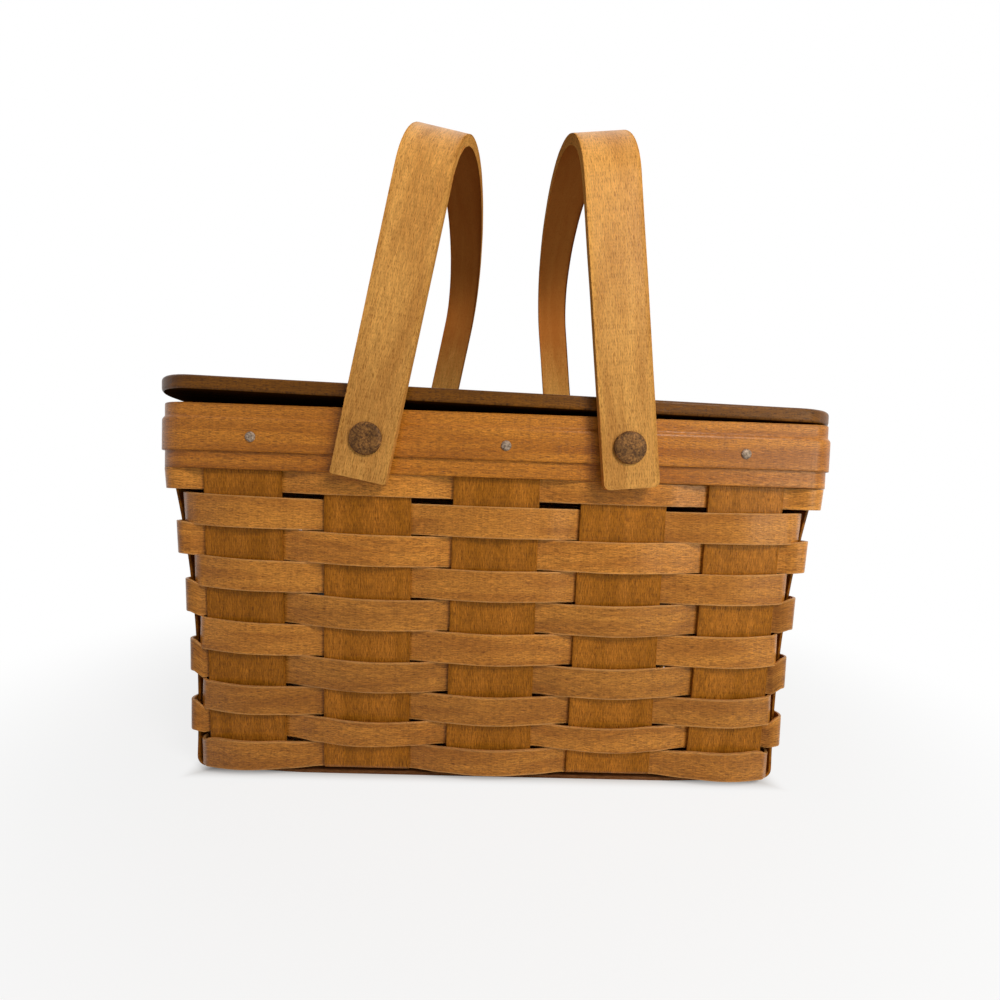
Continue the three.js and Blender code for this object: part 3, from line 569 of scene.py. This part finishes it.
def weaverStations(wall, number):
    # the uprights in turn: place, half width, turn of the wall, side, and offsets at its edges and middle
    quarter = sum(cornerReach(wall))
    low = weavers["topBow" if number == 1 else "bow"]
    corner = weavers["topCorner" if number == 1 else "cornerOffset"]
    stations = []
    for turn in range(4):
        onEnd = turn % 2 == 1
        count = walls["endCount" if onEnd else "frontCount"]
        edge = weavers["endEdgeOffset" if onEnd else "edgeOffset"]
        for index in range(count):
            middle, width = (endUpright(index, wall["endPitch"]) if onEnd
                             else frontUpright(index, wall["frontPitch"]))
            side = 1 if (len(stations) + number) % 2 == 0 else -1
            tight = corner if side > 0 else min(corner, wall["radius"] - weavers["thickness"])
            before = tight if onEnd and index == 0 else edge
            after = tight if onEnd and index == count - 1 else edge
            bow = max(low, before, after) * (1 + chance.uniform(-weavers["bowChance"], weavers["bowChance"]))
            stations.append((turn * quarter + middle, width / 2, turn, side, before, after, bow))
    return stations, 4 * quarter


def weaverOffset(distance, stations, whole, frontReach):
    # over one upright and under the next; on the way to an end it crosses over by the corner
    distance = (distance - stations[0][0]) % whole + stations[0][0]
    index = max(i for i, station in enumerate(stations) if station[0] <= distance)
    here = stations[index]
    ahead = stations[(index + 1) % len(stations)]
    nextAt = ahead[0] + (whole if index == len(stations) - 1 else 0)
    for at, half, _, side, before, after, bow in (here, (nextAt, *ahead[1:])):
        share = (distance - at) / half
        if abs(share) < 1:
            level = mix(before, after, (share + 1) / 2)
            return side * (level + (bow - (before + after) / 2) * math.cos(math.pi / 2 * share))
    first, last = here[0] + here[1], nextAt - ahead[1]
    if here[2] % 2 == 0 and ahead[2] % 2 == 1:
        last = here[2] * whole / 4 + frontReach
    elif here[2] % 2 == 1 and ahead[2] % 2 == 0:
        first = (here[2] + 1) * whole / 4 - frontReach
    return mix(here[3] * here[5], ahead[3] * ahead[4], eased(shareOf(distance, first, last)))


def weaverSpots(number, middle, width):
    wall = wallAt(middle)
    stations, whole = weaverStations(wall, number)
    length, depth = wall["half"]
    upright = walls["uprightWidth"]
    lapAt = stations[weavers["lapStations"][number % 2]][0]
    start, distance = lapAt - upright / 2, lapAt + upright / 2 + whole
    swell = math.sin(math.pi * min(middle / walls["flareTop"] + weavers["swellShift"], 1)) ** weavers["swellPower"]
    phase = chance.uniform(0, weavers["phases"])
    spots = []
    while distance > start:  # clockwise from above, so that the strip's upper edge is the far one
        offset = weaverOffset(distance, stations, whole, cornerReach(wall)[0])
        past = distance - start - upright
        if past < weavers["lapEase"]:
            offset -= weavers["lap"] * (1 - max(past, 0) / weavers["lapEase"])
        point, normal = aroundWall(distance, wall)
        towards = max(abs(point.x) - weavers["riseFrom"], 0) / (length - weavers["riseFrom"])
        share = (towards * abs(point.y) / depth) ** weavers["risePower"]  # 1 at a corner
        rise = share * weavers["leftRise" if point.x < 0 else "rightRise"]
        proud = share * shareOf(offset, 0, weavers["proudAt"])  # 1 where it goes round a corner outside
        breadth, lift = 1, 0
        if number == 1:
            rise *= weavers["topRise"]
            breadth = 1 - rise / width  # its upper edge stays under the rim strip
            rise /= 2
        elif number == lastRow:
            breadth = 1 + weavers["footGrowth"] * proud
            rise, lift = 0, (breadth - 1) * width / 2  # its lower edge stays level
        else:
            rise *= swell
            if number % 2 == 1:
                breadth = 1 + weavers["tabGrowth" if number < lastRow - 1 else "lastTabGrowth"] * proud
                lift = weavers["tabRise"][number // 2 - 1] * proud * share * share
        height = middle + rise + weavers["waver"] * math.sin(distance / weavers["waverLength"] + phase)
        spot = point + normal * offset
        if point.x > 0 > point.y:  # looser at this corner
            spot.x += weavers["rightSpread"] * proud * middle / walls["flareTop"]
        outward = outwardAt(normal, middle)
        outward.z *= mix(1, weavers["endLean"], abs(normal.x))
        spots.append((Vector((spot.x, spot.y, height)), outward.normalized(), breadth, lift))
        inside = min(abs(point.x) - length + wall["radius"], abs(point.y) - depth + wall["radius"])
        distance -= weavers["cornerPitch" if inside > -weavers["cornerMargin"] else "pitch"]
    return spots


for number, (low, high) in enumerate(weavers["spans"], 1):
    width = high - low
    spots = weaverSpots(number, (low + high) / 2, width)
    # the strip's tone, partly painted shade
    shade = weavers["tones"][number - 1] + weavers["toneChance"] * chance.random()
    piece = sweepSplint(f"weaver_{number:02d}", spots, {**weavers, "width": width}, weaverWood,
                        weavers["stripSeed"] + number, shade)
    finishPiece(piece, "basket", "weaver_splint", f"weaver_row_{number:02d}")
print("weavers woven")

# Rim: outer band with a step, the strip under it and the inner band, each butted at the back
rim = {
    "corners": ((1, 1, 13.2), (1, -1, 13.2), (-1, -1, 16.5), (-1, 1, 13.2)),  # the front left one is rounder
    "joint": (28.0, 27.6), "arcSteps": 16, "pitch": 3.5, "backSteps": 40, "trim": 0.1,
    "finish": {"wobble": 0.16, "ease": 0.3},
    "hoops": (
        {"name": "rim_band_outer", "node": "outer_rim_band", "inset": 0.5, "low": 146.2, "high": 167.0,
         "thickness": 1.0, "step": 1.0, "stepLow": 3.0, "stepHigh": 4.8, "lines": 40, "seed": 61, "tone": 0.6},
        {"name": "rim_band_strip", "node": "rim_strip", "inset": 2.3, "low": 138.55, "high": 159.4,
         "thickness": 2.2, "lines": 5, "seed": 62, "tone": 0.75},
        {"name": "rim_band_inner", "node": "inner_rim_band", "inset": 6.0, "low": 147.5, "high": 166.5,
         "thickness": 2.0, "lines": 5, "seed": 63, "tone": 0.35}),
}


def hoopSpots(inset, height):
    # clockwise from above, from the joint in the back to the other side of it
    length, depth = walls["outerHalf"]
    start, end = (Vector((x, depth)) for x in rim["joint"])
    course = [(start, Vector((0, 1)))]
    for right, back, radius in rim["corners"]:
        centre = Vector((right * (length - radius), back * (depth - radius)))
        first = math.atan2(back, right) + math.pi / 4
        arc = [Vector((math.cos(first - angle), math.sin(first - angle)))
               for angle in quarterTurn(rim["arcSteps"])]
        last = course[-1][0]
        entry = centre + arc[0] * radius
        count = math.ceil((entry - last).length / rim["pitch"])
        course += [(last.lerp(entry, i / count), arc[0]) for i in range(1, count)]
        course += [(centre + out * radius, out) for out in arc]
    last, normal = course[-1]
    course += [(last.lerp(end, i / rim["backSteps"]), normal) for i in range(1, rim["backSteps"] + 1)]
    return [(Vector((*(point - normal * inset), height)), Vector((*normal, 0)), 1.0, 0.0)
            for point, normal in course]


for hoop in rim["hoops"]:
    spots = hoopSpots(hoop["inset"], (hoop["low"] + hoop["high"]) / 2)
    strip = {**hoop, **rim["finish"], "width": hoop["high"] - hoop["low"] - rim["trim"]}
    piece = sweepSplint(hoop["name"], spots, strip, rimWood, hoop["seed"], hoop["tone"])
    finishPiece(piece, "basket", "rim_splint", hoop["node"])
print("rim bent")

# Handles: bent straps that lean towards each other
handles = {
    "width": 24.0, "thickness": 4.5, "lines": 6, "wobble": 0.25, "ease": 1.2, "easeSteps": 3,
    "pivotHeight": 153.3, "pivotOffset": 55.8, "legMiddle": 98.75, "leg": 113.8, "rise": 51.0, "foot": 17.5,
    "footSteps": 6, "legHeights": range(-8, 110, 6), "bendSteps": 60, "backWidth": 0.925,
    "thin": 1.1, "thinFrom": 172.0, "thinTo": 200.0,  # shaved on the inside, above the rivets
    # painted light: the straps get lighter towards the top
    "paintedLightRise": 2.9, "paintedLightFrom": 180.0, "paintedLightMiddle": 215.0, "shadeFrom": 208.0, "shadeTo": 285.0,
    # painted shade: the inside faces of the strap take the dark edge colour, more of it higher up the arch
    "insideShadeEdge": (0.86, 1.1), "outsideEdge": 0.9, "insideFrom": -0.02,
    # name, side, lean, radius of the foot, seed, tone
    "pair": (("left", -1, 10.6, 1.0, 71, 0.46), ("right", 1, -5.95, 2.8, 72, 0.5)),
}


def handleFrame(side, lean):
    return (Matrix.Rotation(math.radians(lean), 3, "Y"),
            Vector((side * handles["pivotOffset"], 0, handles["pivotHeight"])))


def handleSpots(side, lean, footRadius):
    middle, rise = handles["legMiddle"], handles["rise"]
    course = [(-middle, -handles["foot"] + footRadius * (1 - math.cos(angle)), -1, 0,
               1 - 2 * footRadius * (1 - math.sin(angle)) / handles["width"])
              for angle in quarterTurn(handles["footSteps"])]
    course += [(-middle, height, -1, 0, 1) for height in handles["legHeights"]]
    otherLeg = [(-y, height, -across, 0, breadth) for y, height, across, _, breadth in reversed(course)]
    for stepIndex in range(handles["bendSteps"] + 1):
        angle = stepIndex / handles["bendSteps"] * math.pi
        normal = Vector((-math.cos(angle) * rise, math.sin(angle) * middle)).normalized()
        course.append((-middle * math.cos(angle), handles["leg"] + rise * math.sin(angle), normal.x, normal.y, 1))
    turn, pivot = handleFrame(side, lean)
    return [(pivot + turn @ Vector((0, y, height)), turn @ Vector((0, across, up)),
             breadth * mix(1, handles["backWidth"], (y / middle + 1) / 2), 0.0)
            for y, height, across, up, breadth in course + otherLeg]


def handleShape(place, side, lean):
    # how far across the strap a place is, how deep under its outer face, and the outward direction there
    turn, pivot = handleFrame(side, lean)
    local = turn.transposed() @ (place / mm - pivot)
    middle, rise = handles["legMiddle"], handles["rise"]
    over = max(local.z - handles["leg"], 0)
    reach = math.hypot(local.y / middle, over / rise)
    slope = Vector((0, local.y / middle ** 2, over / rise ** 2))
    depth = handles["thickness"] / 2 - (reach - 1) * reach / slope.length
    return local.x, depth, turn @ slope.normalized()


for name, side, lean, footRadius, seed, tone in handles["pair"]:
    piece = sweepSplint(f"handle_{name}", handleSpots(side, lean, footRadius), handles, handleWood, seed, tone)
    grain, edge, tones = (piece.data.attributes[key].data for key in ("grain", "edge", "tone"))
    moved = {}
    for corner in piece.data.vertices:
        across, depth, outward = handleShape(corner.co, side, lean)
        height = corner.co.z / mm
        grain[corner.index].vector.y += across * depth / handles["width"] * 2 * mm  # it runs on over the narrow sides
        # painted light: the tone rises towards the top of the strap
        tones[corner.index].value += (
            handles["paintedLightRise"] * mm * (max(height, handles["paintedLightFrom"]) - handles["paintedLightMiddle"]))
        spot = edge[corner.index]
        # painted shade inside the strap, deeper towards the top of the arch
        if corner.normal.dot(outward) < handles["insideFrom"]:
            spot.value = mix(*handles["insideShadeEdge"], shareOf(height, handles["shadeFrom"], handles["shadeTo"]))
            thin = handles["thin"] * shareOf(height, handles["thinFrom"], handles["thinTo"])
            moved[corner.index] = corner.co + outward * thin * mm
        else:
            spot.value = min(spot.value, handles["outsideEdge"])
    for index, place in moved.items():
        piece.data.vertices[index].co = place
    finishPiece(piece, f"{name}_handle", "handle_wood", f"{name}_handle")
print("handles bent")

# Boards: the lid, its rail and the runners
boards = {
    "halfLength": 155.5, "halfDepth": 94.8, "bottom": 167.3, "top": 173.65, "cornerRadius": 22.0, "cornerSteps": 12,
    "lidNear": 60.5, "railNear": 61.1, "warp": 5.7, "ease": 1.5, "cutPitch": 14, "undersideFrom": -0.8,
    "runnerHalf": 112.5, "runnerMiddle": 79.0, "runnerWidth": 14.0, "runnerThickness": 1.6, "runnerEase": 0.2,
    "shave": 1.1, "shaveFrom": 0.75, "lidSeed": 5, "railSeed": 6, "runnerSeed": 7, "easeSteps": 3, "tone": 0.5,
    "grainShift": (1, 0.37, 0.19),  # each board comes from another part of the tree
}


def plateOutline(half, nearY, farY, radius, steps):
    # a plate with two rounded corners on its far side
    side = math.copysign(1, farY)
    points = [(-half, nearY), (half, nearY)]
    for centre, first in ((half - radius, 0), (radius - half, 90)):
        for stepIndex in range(steps + 1):
            angle = math.radians(first + stepIndex / steps * 90)
            points.append((centre + radius * math.cos(angle), farY - side * radius + side * radius * math.sin(angle)))
    return points


def plateInto(shape, outline, low, high):
    face = shape.faces.new([shape.verts.new((x, y, low)) for x, y in outline])
    raised = bmesh.ops.extrude_face_region(shape, geom=[face])
    bmesh.ops.translate(shape, vec=(0, 0, high - low),
                        verts=[part for part in raised["geom"] if isinstance(part, bmesh.types.BMVert)])


def boardPiece(name, outline, low, high, materials, ease, seed, lift):
    shape = bmesh.new()
    plateInto(shape, outline, low, high)
    bmesh.ops.recalc_face_normals(shape, faces=shape.faces[:])
    for axis, values in enumerate(zip(*outline)):
        count = math.ceil((max(values) - min(values)) / boards["cutPitch"])
        for cut in range(1, count):
            place, normal = [0, 0, 0], [0, 0, 0]
            place[axis] = mix(min(values), max(values), cut / count)
            normal[axis] = 1
            everything = shape.verts[:] + shape.edges[:] + shape.faces[:]
            bmesh.ops.bisect_plane(shape, geom=everything, plane_co=place, plane_no=normal)
    for corner in shape.verts:
        corner.co.z += lift(*corner.co)
        corner.co *= mm
    for face in shape.faces:
        face.smooth = True
    mesh = meshFrom(shape, name)
    for material in materials:
        mesh.materials.append(material)
    maker = linkObject(name, mesh)
    easeEdges(maker, ease, boards["easeSteps"])
    piece = plainMesh(maker)
    # on the lid and rail the downward faces take the underside material, which is painted shade
    for face in piece.data.polygons:
        face.material_index = len(materials) - 1 if face.normal.z < boards["undersideFrom"] else 0
    apart = Vector([seed * part for part in boards["grainShift"]])
    storeOn(piece.data, "grain", [
        Vector((corner.co.x, corner.co.y + corner.co.z, 0)) + apart for corner in piece.data.vertices])
    storeOn(piece.data, "tone", [boards["tone"]] * len(piece.data.vertices))
    return piece


def lidLift(x, y, _):
    # the front left corner has come up
    towardsLeft = 0.5 - x / (2 * boards["halfLength"])
    towardsFront = max(boards["lidNear"] - y, 0) / (boards["lidNear"] + boards["halfDepth"])
    return boards["warp"] * towardsLeft * towardsFront ** 2


def runnerLift(x, _, z):
    # its ends are shaved thin from below
    share = shareOf(abs(x) / boards["runnerHalf"], boards["shaveFrom"], 1)
    return boards["shave"] * share * (1 - z / boards["runnerThickness"])


for name, body, node, near, far, seed, lift in (
        ("lid_board", "lid", "lid", boards["lidNear"], -boards["halfDepth"], boards["lidSeed"], lidLift),
        ("lid_rail_board", "basket", "lid_rail", boards["railNear"], boards["halfDepth"], boards["railSeed"],
         lambda *place: 0)):
    outline = plateOutline(boards["halfLength"], near, far, boards["cornerRadius"], boards["cornerSteps"])
    board = boardPiece(name, outline, boards["bottom"], boards["top"], (lidWood, lidUnderside), boards["ease"],
                       seed, lift)
    finishPiece(board, body, "lid_board", node)
for name, side in (("front", -1), ("back", 1)):
    length, width = boards["runnerHalf"], boards["runnerWidth"] / 2
    near, far = side * boards["runnerMiddle"] - width, side * boards["runnerMiddle"] + width
    runner = boardPiece(f"runner_{name}", [(-length, near), (length, near), (length, far), (-length, far)], 0,
                        boards["runnerThickness"], (runnerWood,), boards["runnerEase"],
                        boards["runnerSeed"] + side, runnerLift)
    finishPiece(runner, "basket", "upright_splint", f"bottom_runner_{name}")
print("boards planed")

# Fasteners: turned about +Z, which is outwards, with 0 on the face of the outer band
fasteners = {
    "tackHeight": 152.8, "tackShifts": (-106.95, 3.5, 108.95), "endTacks": (-63.55, 0.0, 63.55),
    "tackSides": 20, "tackSeed": 4, "tackSpread": 0.08, "sides": 36, "seed": 9, "crease": 50,
    "tack": [(0, 1.0), (0.9, 0.96), (1.7, 0.78), (2.2, 0.42), (2.3, 0.12), (0.6, 0.1), (0.6, -7.0), (0, -7.5)],
    "rivet": [(0, 7.72), (3.4, 7.8), (5.5, 7.74), (6.4, 7.5), (6.9, 7.05), (7.0, 6.6), (6.85, 6.2), (2.4, 6.15),
              (2.4, -8.8), (3.3, -8.85), (3.1, -9.35), (2.0, -9.6), (0, -9.6)],
    "spacer": [(2.55, 1.3), (5.7, 1.3), (6.0, 1.1), (6.0, 0.35), (5.7, 0.15), (2.55, 0.15), (2.55, 1.3)],
    "burr": [(2.55, -7.3), (4.7, -7.35), (5.0, -7.6), (5.0, -8.3), (4.7, -8.5), (2.55, -8.5), (2.55, -7.3)],
}


def turnedMesh(name, profile, sides):
    shape = bmesh.new()
    closed = profile[0] == profile[-1]
    rings = []
    for radius, height in profile[:-1] if closed else profile:
        if radius == 0:
            rings.append([shape.verts.new((0, 0, height * mm))] * sides)
        else:
            angles = [2 * math.pi * i / sides for i in range(sides)]
            rings.append([shape.verts.new((radius * mm * math.cos(angle), radius * mm * math.sin(angle), height * mm))
                          for angle in angles])
    if closed:
        rings.append(rings[0])
    for upper, lower in zip(rings, rings[1:]):
        for i in range(sides):
            other = (i + 1) % sides
            ring = dict.fromkeys((upper[i], lower[i], lower[other], upper[other]))  # a tip has one corner less
            shape.faces.new(list(ring)).smooth = True
    bmesh.ops.recalc_face_normals(shape, faces=shape.faces[:])
    for edge in shape.edges:
        if edge.calc_face_angle(0) > math.radians(fasteners["crease"]):
            edge.smooth = False
    return meshFrom(shape, name)


def setFasteners(name, profile, sides, places, material, seed, spread=0.0):
    sample = linkObject(f"{name}_sample", turnedMesh(f"{name}_sample", profile, sides))
    mesh = bpy.data.meshes.new(name)
    mesh.from_pydata([Vector(point) * mm for point, _ in places], [], [])
    storeOn(mesh, "outward", [direction for _, direction in places])
    maker = linkObject(name, mesh)
    addTree(maker, fastenerTree, {"Fastener": sample, "Size Spread": spread, "Seed": seed, "Material": material})
    piece = plainMesh(maker)
    discard(sample)
    return piece


length, depth = walls["outerHalf"]
tackPlaces, tackNodes = [], []
for number, x in zip((1, 3, 5), fasteners["tackShifts"]):
    for name, face in (("front", -1), ("back", 1)):
        tackPlaces.append(((x, face * depth, fasteners["tackHeight"]), (0, face, 0)))
        tackNodes.append(f"tack_{name}_{number}")
for number, y in zip((1, 2, 3), fasteners["endTacks"]):
    for name, face in (("left", -1), ("right", 1)):
        tackPlaces.append(((face * length, y, fasteners["tackHeight"]), (face, 0, 0)))
        tackNodes.append(f"tack_{name}_{number}")
tacks = setFasteners("rim_tacks", fasteners["tack"], fasteners["tackSides"], tackPlaces, tackSteel,
                     fasteners["tackSeed"], fasteners["tackSpread"])
finishPiece(tacks, "basket", "tack_steel", *tackNodes)

rivetPlaces = [((side * handles["pivotOffset"], face * depth, handles["pivotHeight"]), (0, face, 0))
               for face in (-1, 1) for side in (-1, 1)]
spotNames = ("front_left", "front_right", "back_left", "back_right")
for kind, node in (("rivet", "rivet"), ("spacer", "handle_spacer"), ("burr", "rivet_burr")):
    piece = setFasteners(f"handle_{kind}s", fasteners[kind], fasteners["sides"], rivetPlaces, rivetCopper,
                         fasteners["seed"])
    finishPiece(piece, "basket", "old_copper", *[f"{node}_{spot}" for spot in spotNames])
print("fasteners driven")

# Butt hinges on top of the rail and the lid
hinges = {
    "offset": 95.0, "line": (60.8, 175.47), "width": 24.0, "leaf": (1.95, 15.95), "leafLow": -1.7, "leafHigh": -0.9,
    "corner": 2.2, "cornerSteps": 6, "webLap": 0.8, "ease": 0.18, "sides": 28,
    "knuckle": 7.833, "knuckleRadius": 1.7, "knuckleStep": 8.083,
    "pinRadius": 0.8, "pinLength": 24.5, "pinSides": 16,
    "screws": ((-7.5, 6.0), (7.5, 6.0), (0.0, 11.5)), "screwSides": 20, "screwSeed": 12,
    "screw": [(0, -0.62), (0.25, -0.55), (1.5, -0.55), (1.75, -0.75), (1.8, -0.88), (0, -0.88)],
}


def barrelInto(shape, radius, length, x, sides):
    made = bmesh.ops.create_cone(shape, cap_ends=True, segments=sides, radius1=radius, radius2=radius, depth=length)
    turn = Matrix.Translation((x, 0, 0)) @ Matrix.Rotation(math.pi / 2, 4, "Y")
    bmesh.ops.transform(shape, matrix=turn, verts=made["verts"])


def leafInto(shape, side, knuckles):
    near, far = hinges["leaf"]
    levels = hinges["leafLow"], hinges["leafHigh"]
    outline = plateOutline(hinges["width"] / 2, side * near, side * far, hinges["corner"], hinges["cornerSteps"])
    plateInto(shape, outline, *levels)
    for x in knuckles:
        left, right, web = x - hinges["knuckle"] / 2, x + hinges["knuckle"] / 2, side * (near + hinges["webLap"])
        plateInto(shape, [(left, 0), (right, 0), (right, web), (left, web)], *levels)
        barrelInto(shape, hinges["knuckleRadius"], hinges["knuckle"], x, hinges["sides"])


def hingePiece(name, x, build, *details):
    shape = bmesh.new()
    build(shape, *details)
    bmesh.ops.recalc_face_normals(shape, faces=shape.faces[:])
    for corner in shape.verts:
        corner.co = (corner.co + Vector((x, *hinges["line"]))) * mm
    for face in shape.faces:
        face.smooth = True
    mesh = meshFrom(shape, name)
    mesh.materials.append(hingeBrass)
    maker = linkObject(name, mesh)
    easeEdges(maker, hinges["ease"])
    return plainMesh(maker)


step = hinges["knuckleStep"]
for name, x in (("left", -hinges["offset"]), ("right", hinges["offset"])):
    railLeaf = hingePiece(f"hinge_on_rail_{name}", x, leafInto, 1, (-step, step))
    finishPiece(railLeaf, "basket", "hinge_brass", f"hinge_rail_leaf_{name}")
    lidLeaf = hingePiece(f"hinge_on_lid_{name}", x, leafInto, -1, (0,))
    finishPiece(lidLeaf, "lid", "hinge_brass", f"hinge_lid_leaf_{name}")
    pin = hingePiece(f"hinge_pin_rod_{name}", x, barrelInto, hinges["pinRadius"], hinges["pinLength"], 0,
                     hinges["pinSides"])
    finishPiece(pin, "basket", "hinge_brass", f"hinge_pin_{name}")
for side, body, label in ((1, "basket", "rail"), (-1, "lid", "lid")):
    places = [((x + dx, hinges["line"][0] + side * dy, hinges["line"][1]), (0, 0, 1))
              for x in (-hinges["offset"], hinges["offset"]) for dx, dy in hinges["screws"]]
    screws = setFasteners(f"hinge_screws_{label}", hinges["screw"], hinges["screwSides"], places, hingeBrass,
                          hinges["screwSeed"])
    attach(screws, body)
print("hinges set")

# Studio: white surroundings, two lamps on the right of the camera and a weak one on the left
studio = {
    "footprint": (0.134, 0.089, 1.0), "footprintEdge": (0.92, 1.04),  # the floor under the basket stays in its shadow
    "floorHalf": 6.0, "whiteFrom": 0.15, "whiteTo": 0.36, "floorWhite": 0.82, "floorColour": "F0F0F0",
    "white": (1, 1, 1, 1), "world": 0.18, "aim": (0.0, 0.0, 0.13),
    "lamps": (
        {"name": "broad lamp", "place": (0.32, -0.55, 0.54), "size": 0.22, "power": 2.8, "colour": "FFF9F2"},
        {"name": "window lamp", "place": (0.52, -0.55, 0.16), "size": 0.24, "power": 1.25, "colour": "DCF5F0"},
        {"name": "left fill lamp", "place": (-1.3, -1.3, 0.7), "size": 1.4, "power": 0.4, "colour": "FFF0DC"},
    ),
}


def seenDirectly(tree):
    # 1 where the eye, a reflection or a view through glass looks
    ray = addNode(tree, "ShaderNodeLightPath").outputs
    first = addNode(tree, "ShaderNodeMath", {0: ray["Is Camera Ray"], 1: ray["Is Glossy Ray"]}, operation="MAXIMUM")
    return addNode(tree, "ShaderNodeMath", {0: first, 1: ray["Is Transmission Ray"]}, operation="MAXIMUM")


def makeFloor():
    half = studio["floorHalf"]
    mesh = bpy.data.meshes.new("floor")
    mesh.from_pydata([(-half, -half, 0), (half, -half, 0), (half, half, 0), (-half, half, 0)], [], [(0, 1, 2, 3)])
    floor = linkObject("floor", mesh)
    material, tree, paper = newMaterial("white paper floor")
    add = partial(addNode, tree)
    fillNode(tree, paper, {
        "Base Color": linearColour(studio["floorColour"]), "Roughness": 0.9, "Specular IOR Level": 0.0})
    place = add("ShaderNodeTexCoord").outputs["Object"]
    away = add("ShaderNodeVectorMath", {0: place}, operation="LENGTH")
    far = add("ShaderNodeMapRange", {
        "Value": away, "From Min": studio["whiteFrom"], "From Max": studio["whiteTo"]},
        interpolation_type="SMOOTHSTEP")
    lifted = add("ShaderNodeMapRange", {"Value": far, "To Min": studio["floorWhite"], "To Max": 1.0})
    spread = add("ShaderNodeVectorMath", {0: place}, operation="ABSOLUTE")
    shares = add("ShaderNodeVectorMath", {0: spread, 1: studio["footprint"]}, operation="DIVIDE")
    sides = add("ShaderNodeSeparateXYZ", {0: shares}).outputs
    reach = add("ShaderNodeMath", {0: sides[0], 1: sides[1]}, operation="MAXIMUM")
    near, clear = studio["footprintEdge"]
    outside = add("ShaderNodeMapRange", {
        "Value": reach, "From Min": near, "From Max": clear, "To Max": 1.0}, interpolation_type="SMOOTHSTEP")
    shown = add("ShaderNodeMath", {0: lifted, 1: outside}, operation="MULTIPLY")
    share = add("ShaderNodeMath", {0: shown, 1: seenDirectly(tree)}, operation="MULTIPLY")
    glow = add("ShaderNodeEmission", {"Color": studio["white"], "Strength": 1.0})
    blend = add("ShaderNodeMixShader", {0: share, 1: paper, 2: glow})
    fillNode(tree, tree.nodes["Material Output"], {"Surface": blend})
    mesh.materials.append(material)


def makeWorld():
    world = bpy.data.worlds.new("white studio")
    bpy.context.scene.world = world
    world.use_nodes = True
    tree = world.node_tree
    strength = addNode(tree, "ShaderNodeMapRange", {
        "Value": seenDirectly(tree), "To Min": studio["world"], "To Max": 1.0})
    fillNode(tree, tree.nodes["Background"], {"Color": studio["white"], "Strength": strength})


def makeLamps():
    for lamp in studio["lamps"]:
        light = bpy.data.lights.new(lamp["name"], "AREA")
        light.size = lamp["size"]
        light.energy = lamp["power"]
        light.color = linearColour(lamp["colour"])[:3]
        holder = linkObject(lamp["name"], light)
        holder.location = lamp["place"]
        aim = Vector(studio["aim"]) - Vector(lamp["place"])
        holder.rotation_euler = aim.to_track_quat("-Z", "Y").to_euler()


# Camera: a wide lens close to the front, level with the upper rows
view = {
    "focal": 470.0, "pictureWidth": 1000, "sensor": 36, "nearest": 0.01,
    "place": (-1.99, -300.07, 135.85), "yaw": -0.996, "pitch": 1.886, "roll": 1.928,
}


def makeCamera():
    yaw, pitch, roll = (math.radians(view[key]) for key in ("yaw", "pitch", "roll"))
    right = Vector((math.cos(yaw), math.sin(yaw), 0))
    level = Vector((-math.sin(yaw), math.cos(yaw), 0))
    ahead = level * math.cos(pitch) - Vector((0, 0, 1)) * math.sin(pitch)
    up = level * math.sin(pitch) + Vector((0, 0, 1)) * math.cos(pitch)
    tiltedRight = right * math.cos(roll) + up * math.sin(roll)
    tiltedUp = up * math.cos(roll) - right * math.sin(roll)
    lens = bpy.data.cameras.new("camera")
    lens.sensor_fit = "HORIZONTAL"
    lens.sensor_width = view["sensor"]
    lens.lens = view["focal"] / view["pictureWidth"] * view["sensor"]
    lens.clip_start = view["nearest"]
    camera = linkObject("camera", lens)
    pose = Matrix((tiltedRight, tiltedUp, -ahead)).transposed().to_4x4()
    pose.translation = Vector(view["place"]) * mm
    camera.matrix_world = pose
    bpy.context.scene.camera = camera


makeFloor()
makeWorld()
makeLamps()
makeCamera()
bpy.context.scene.view_settings.view_transform = "Standard"
print("studio ready")
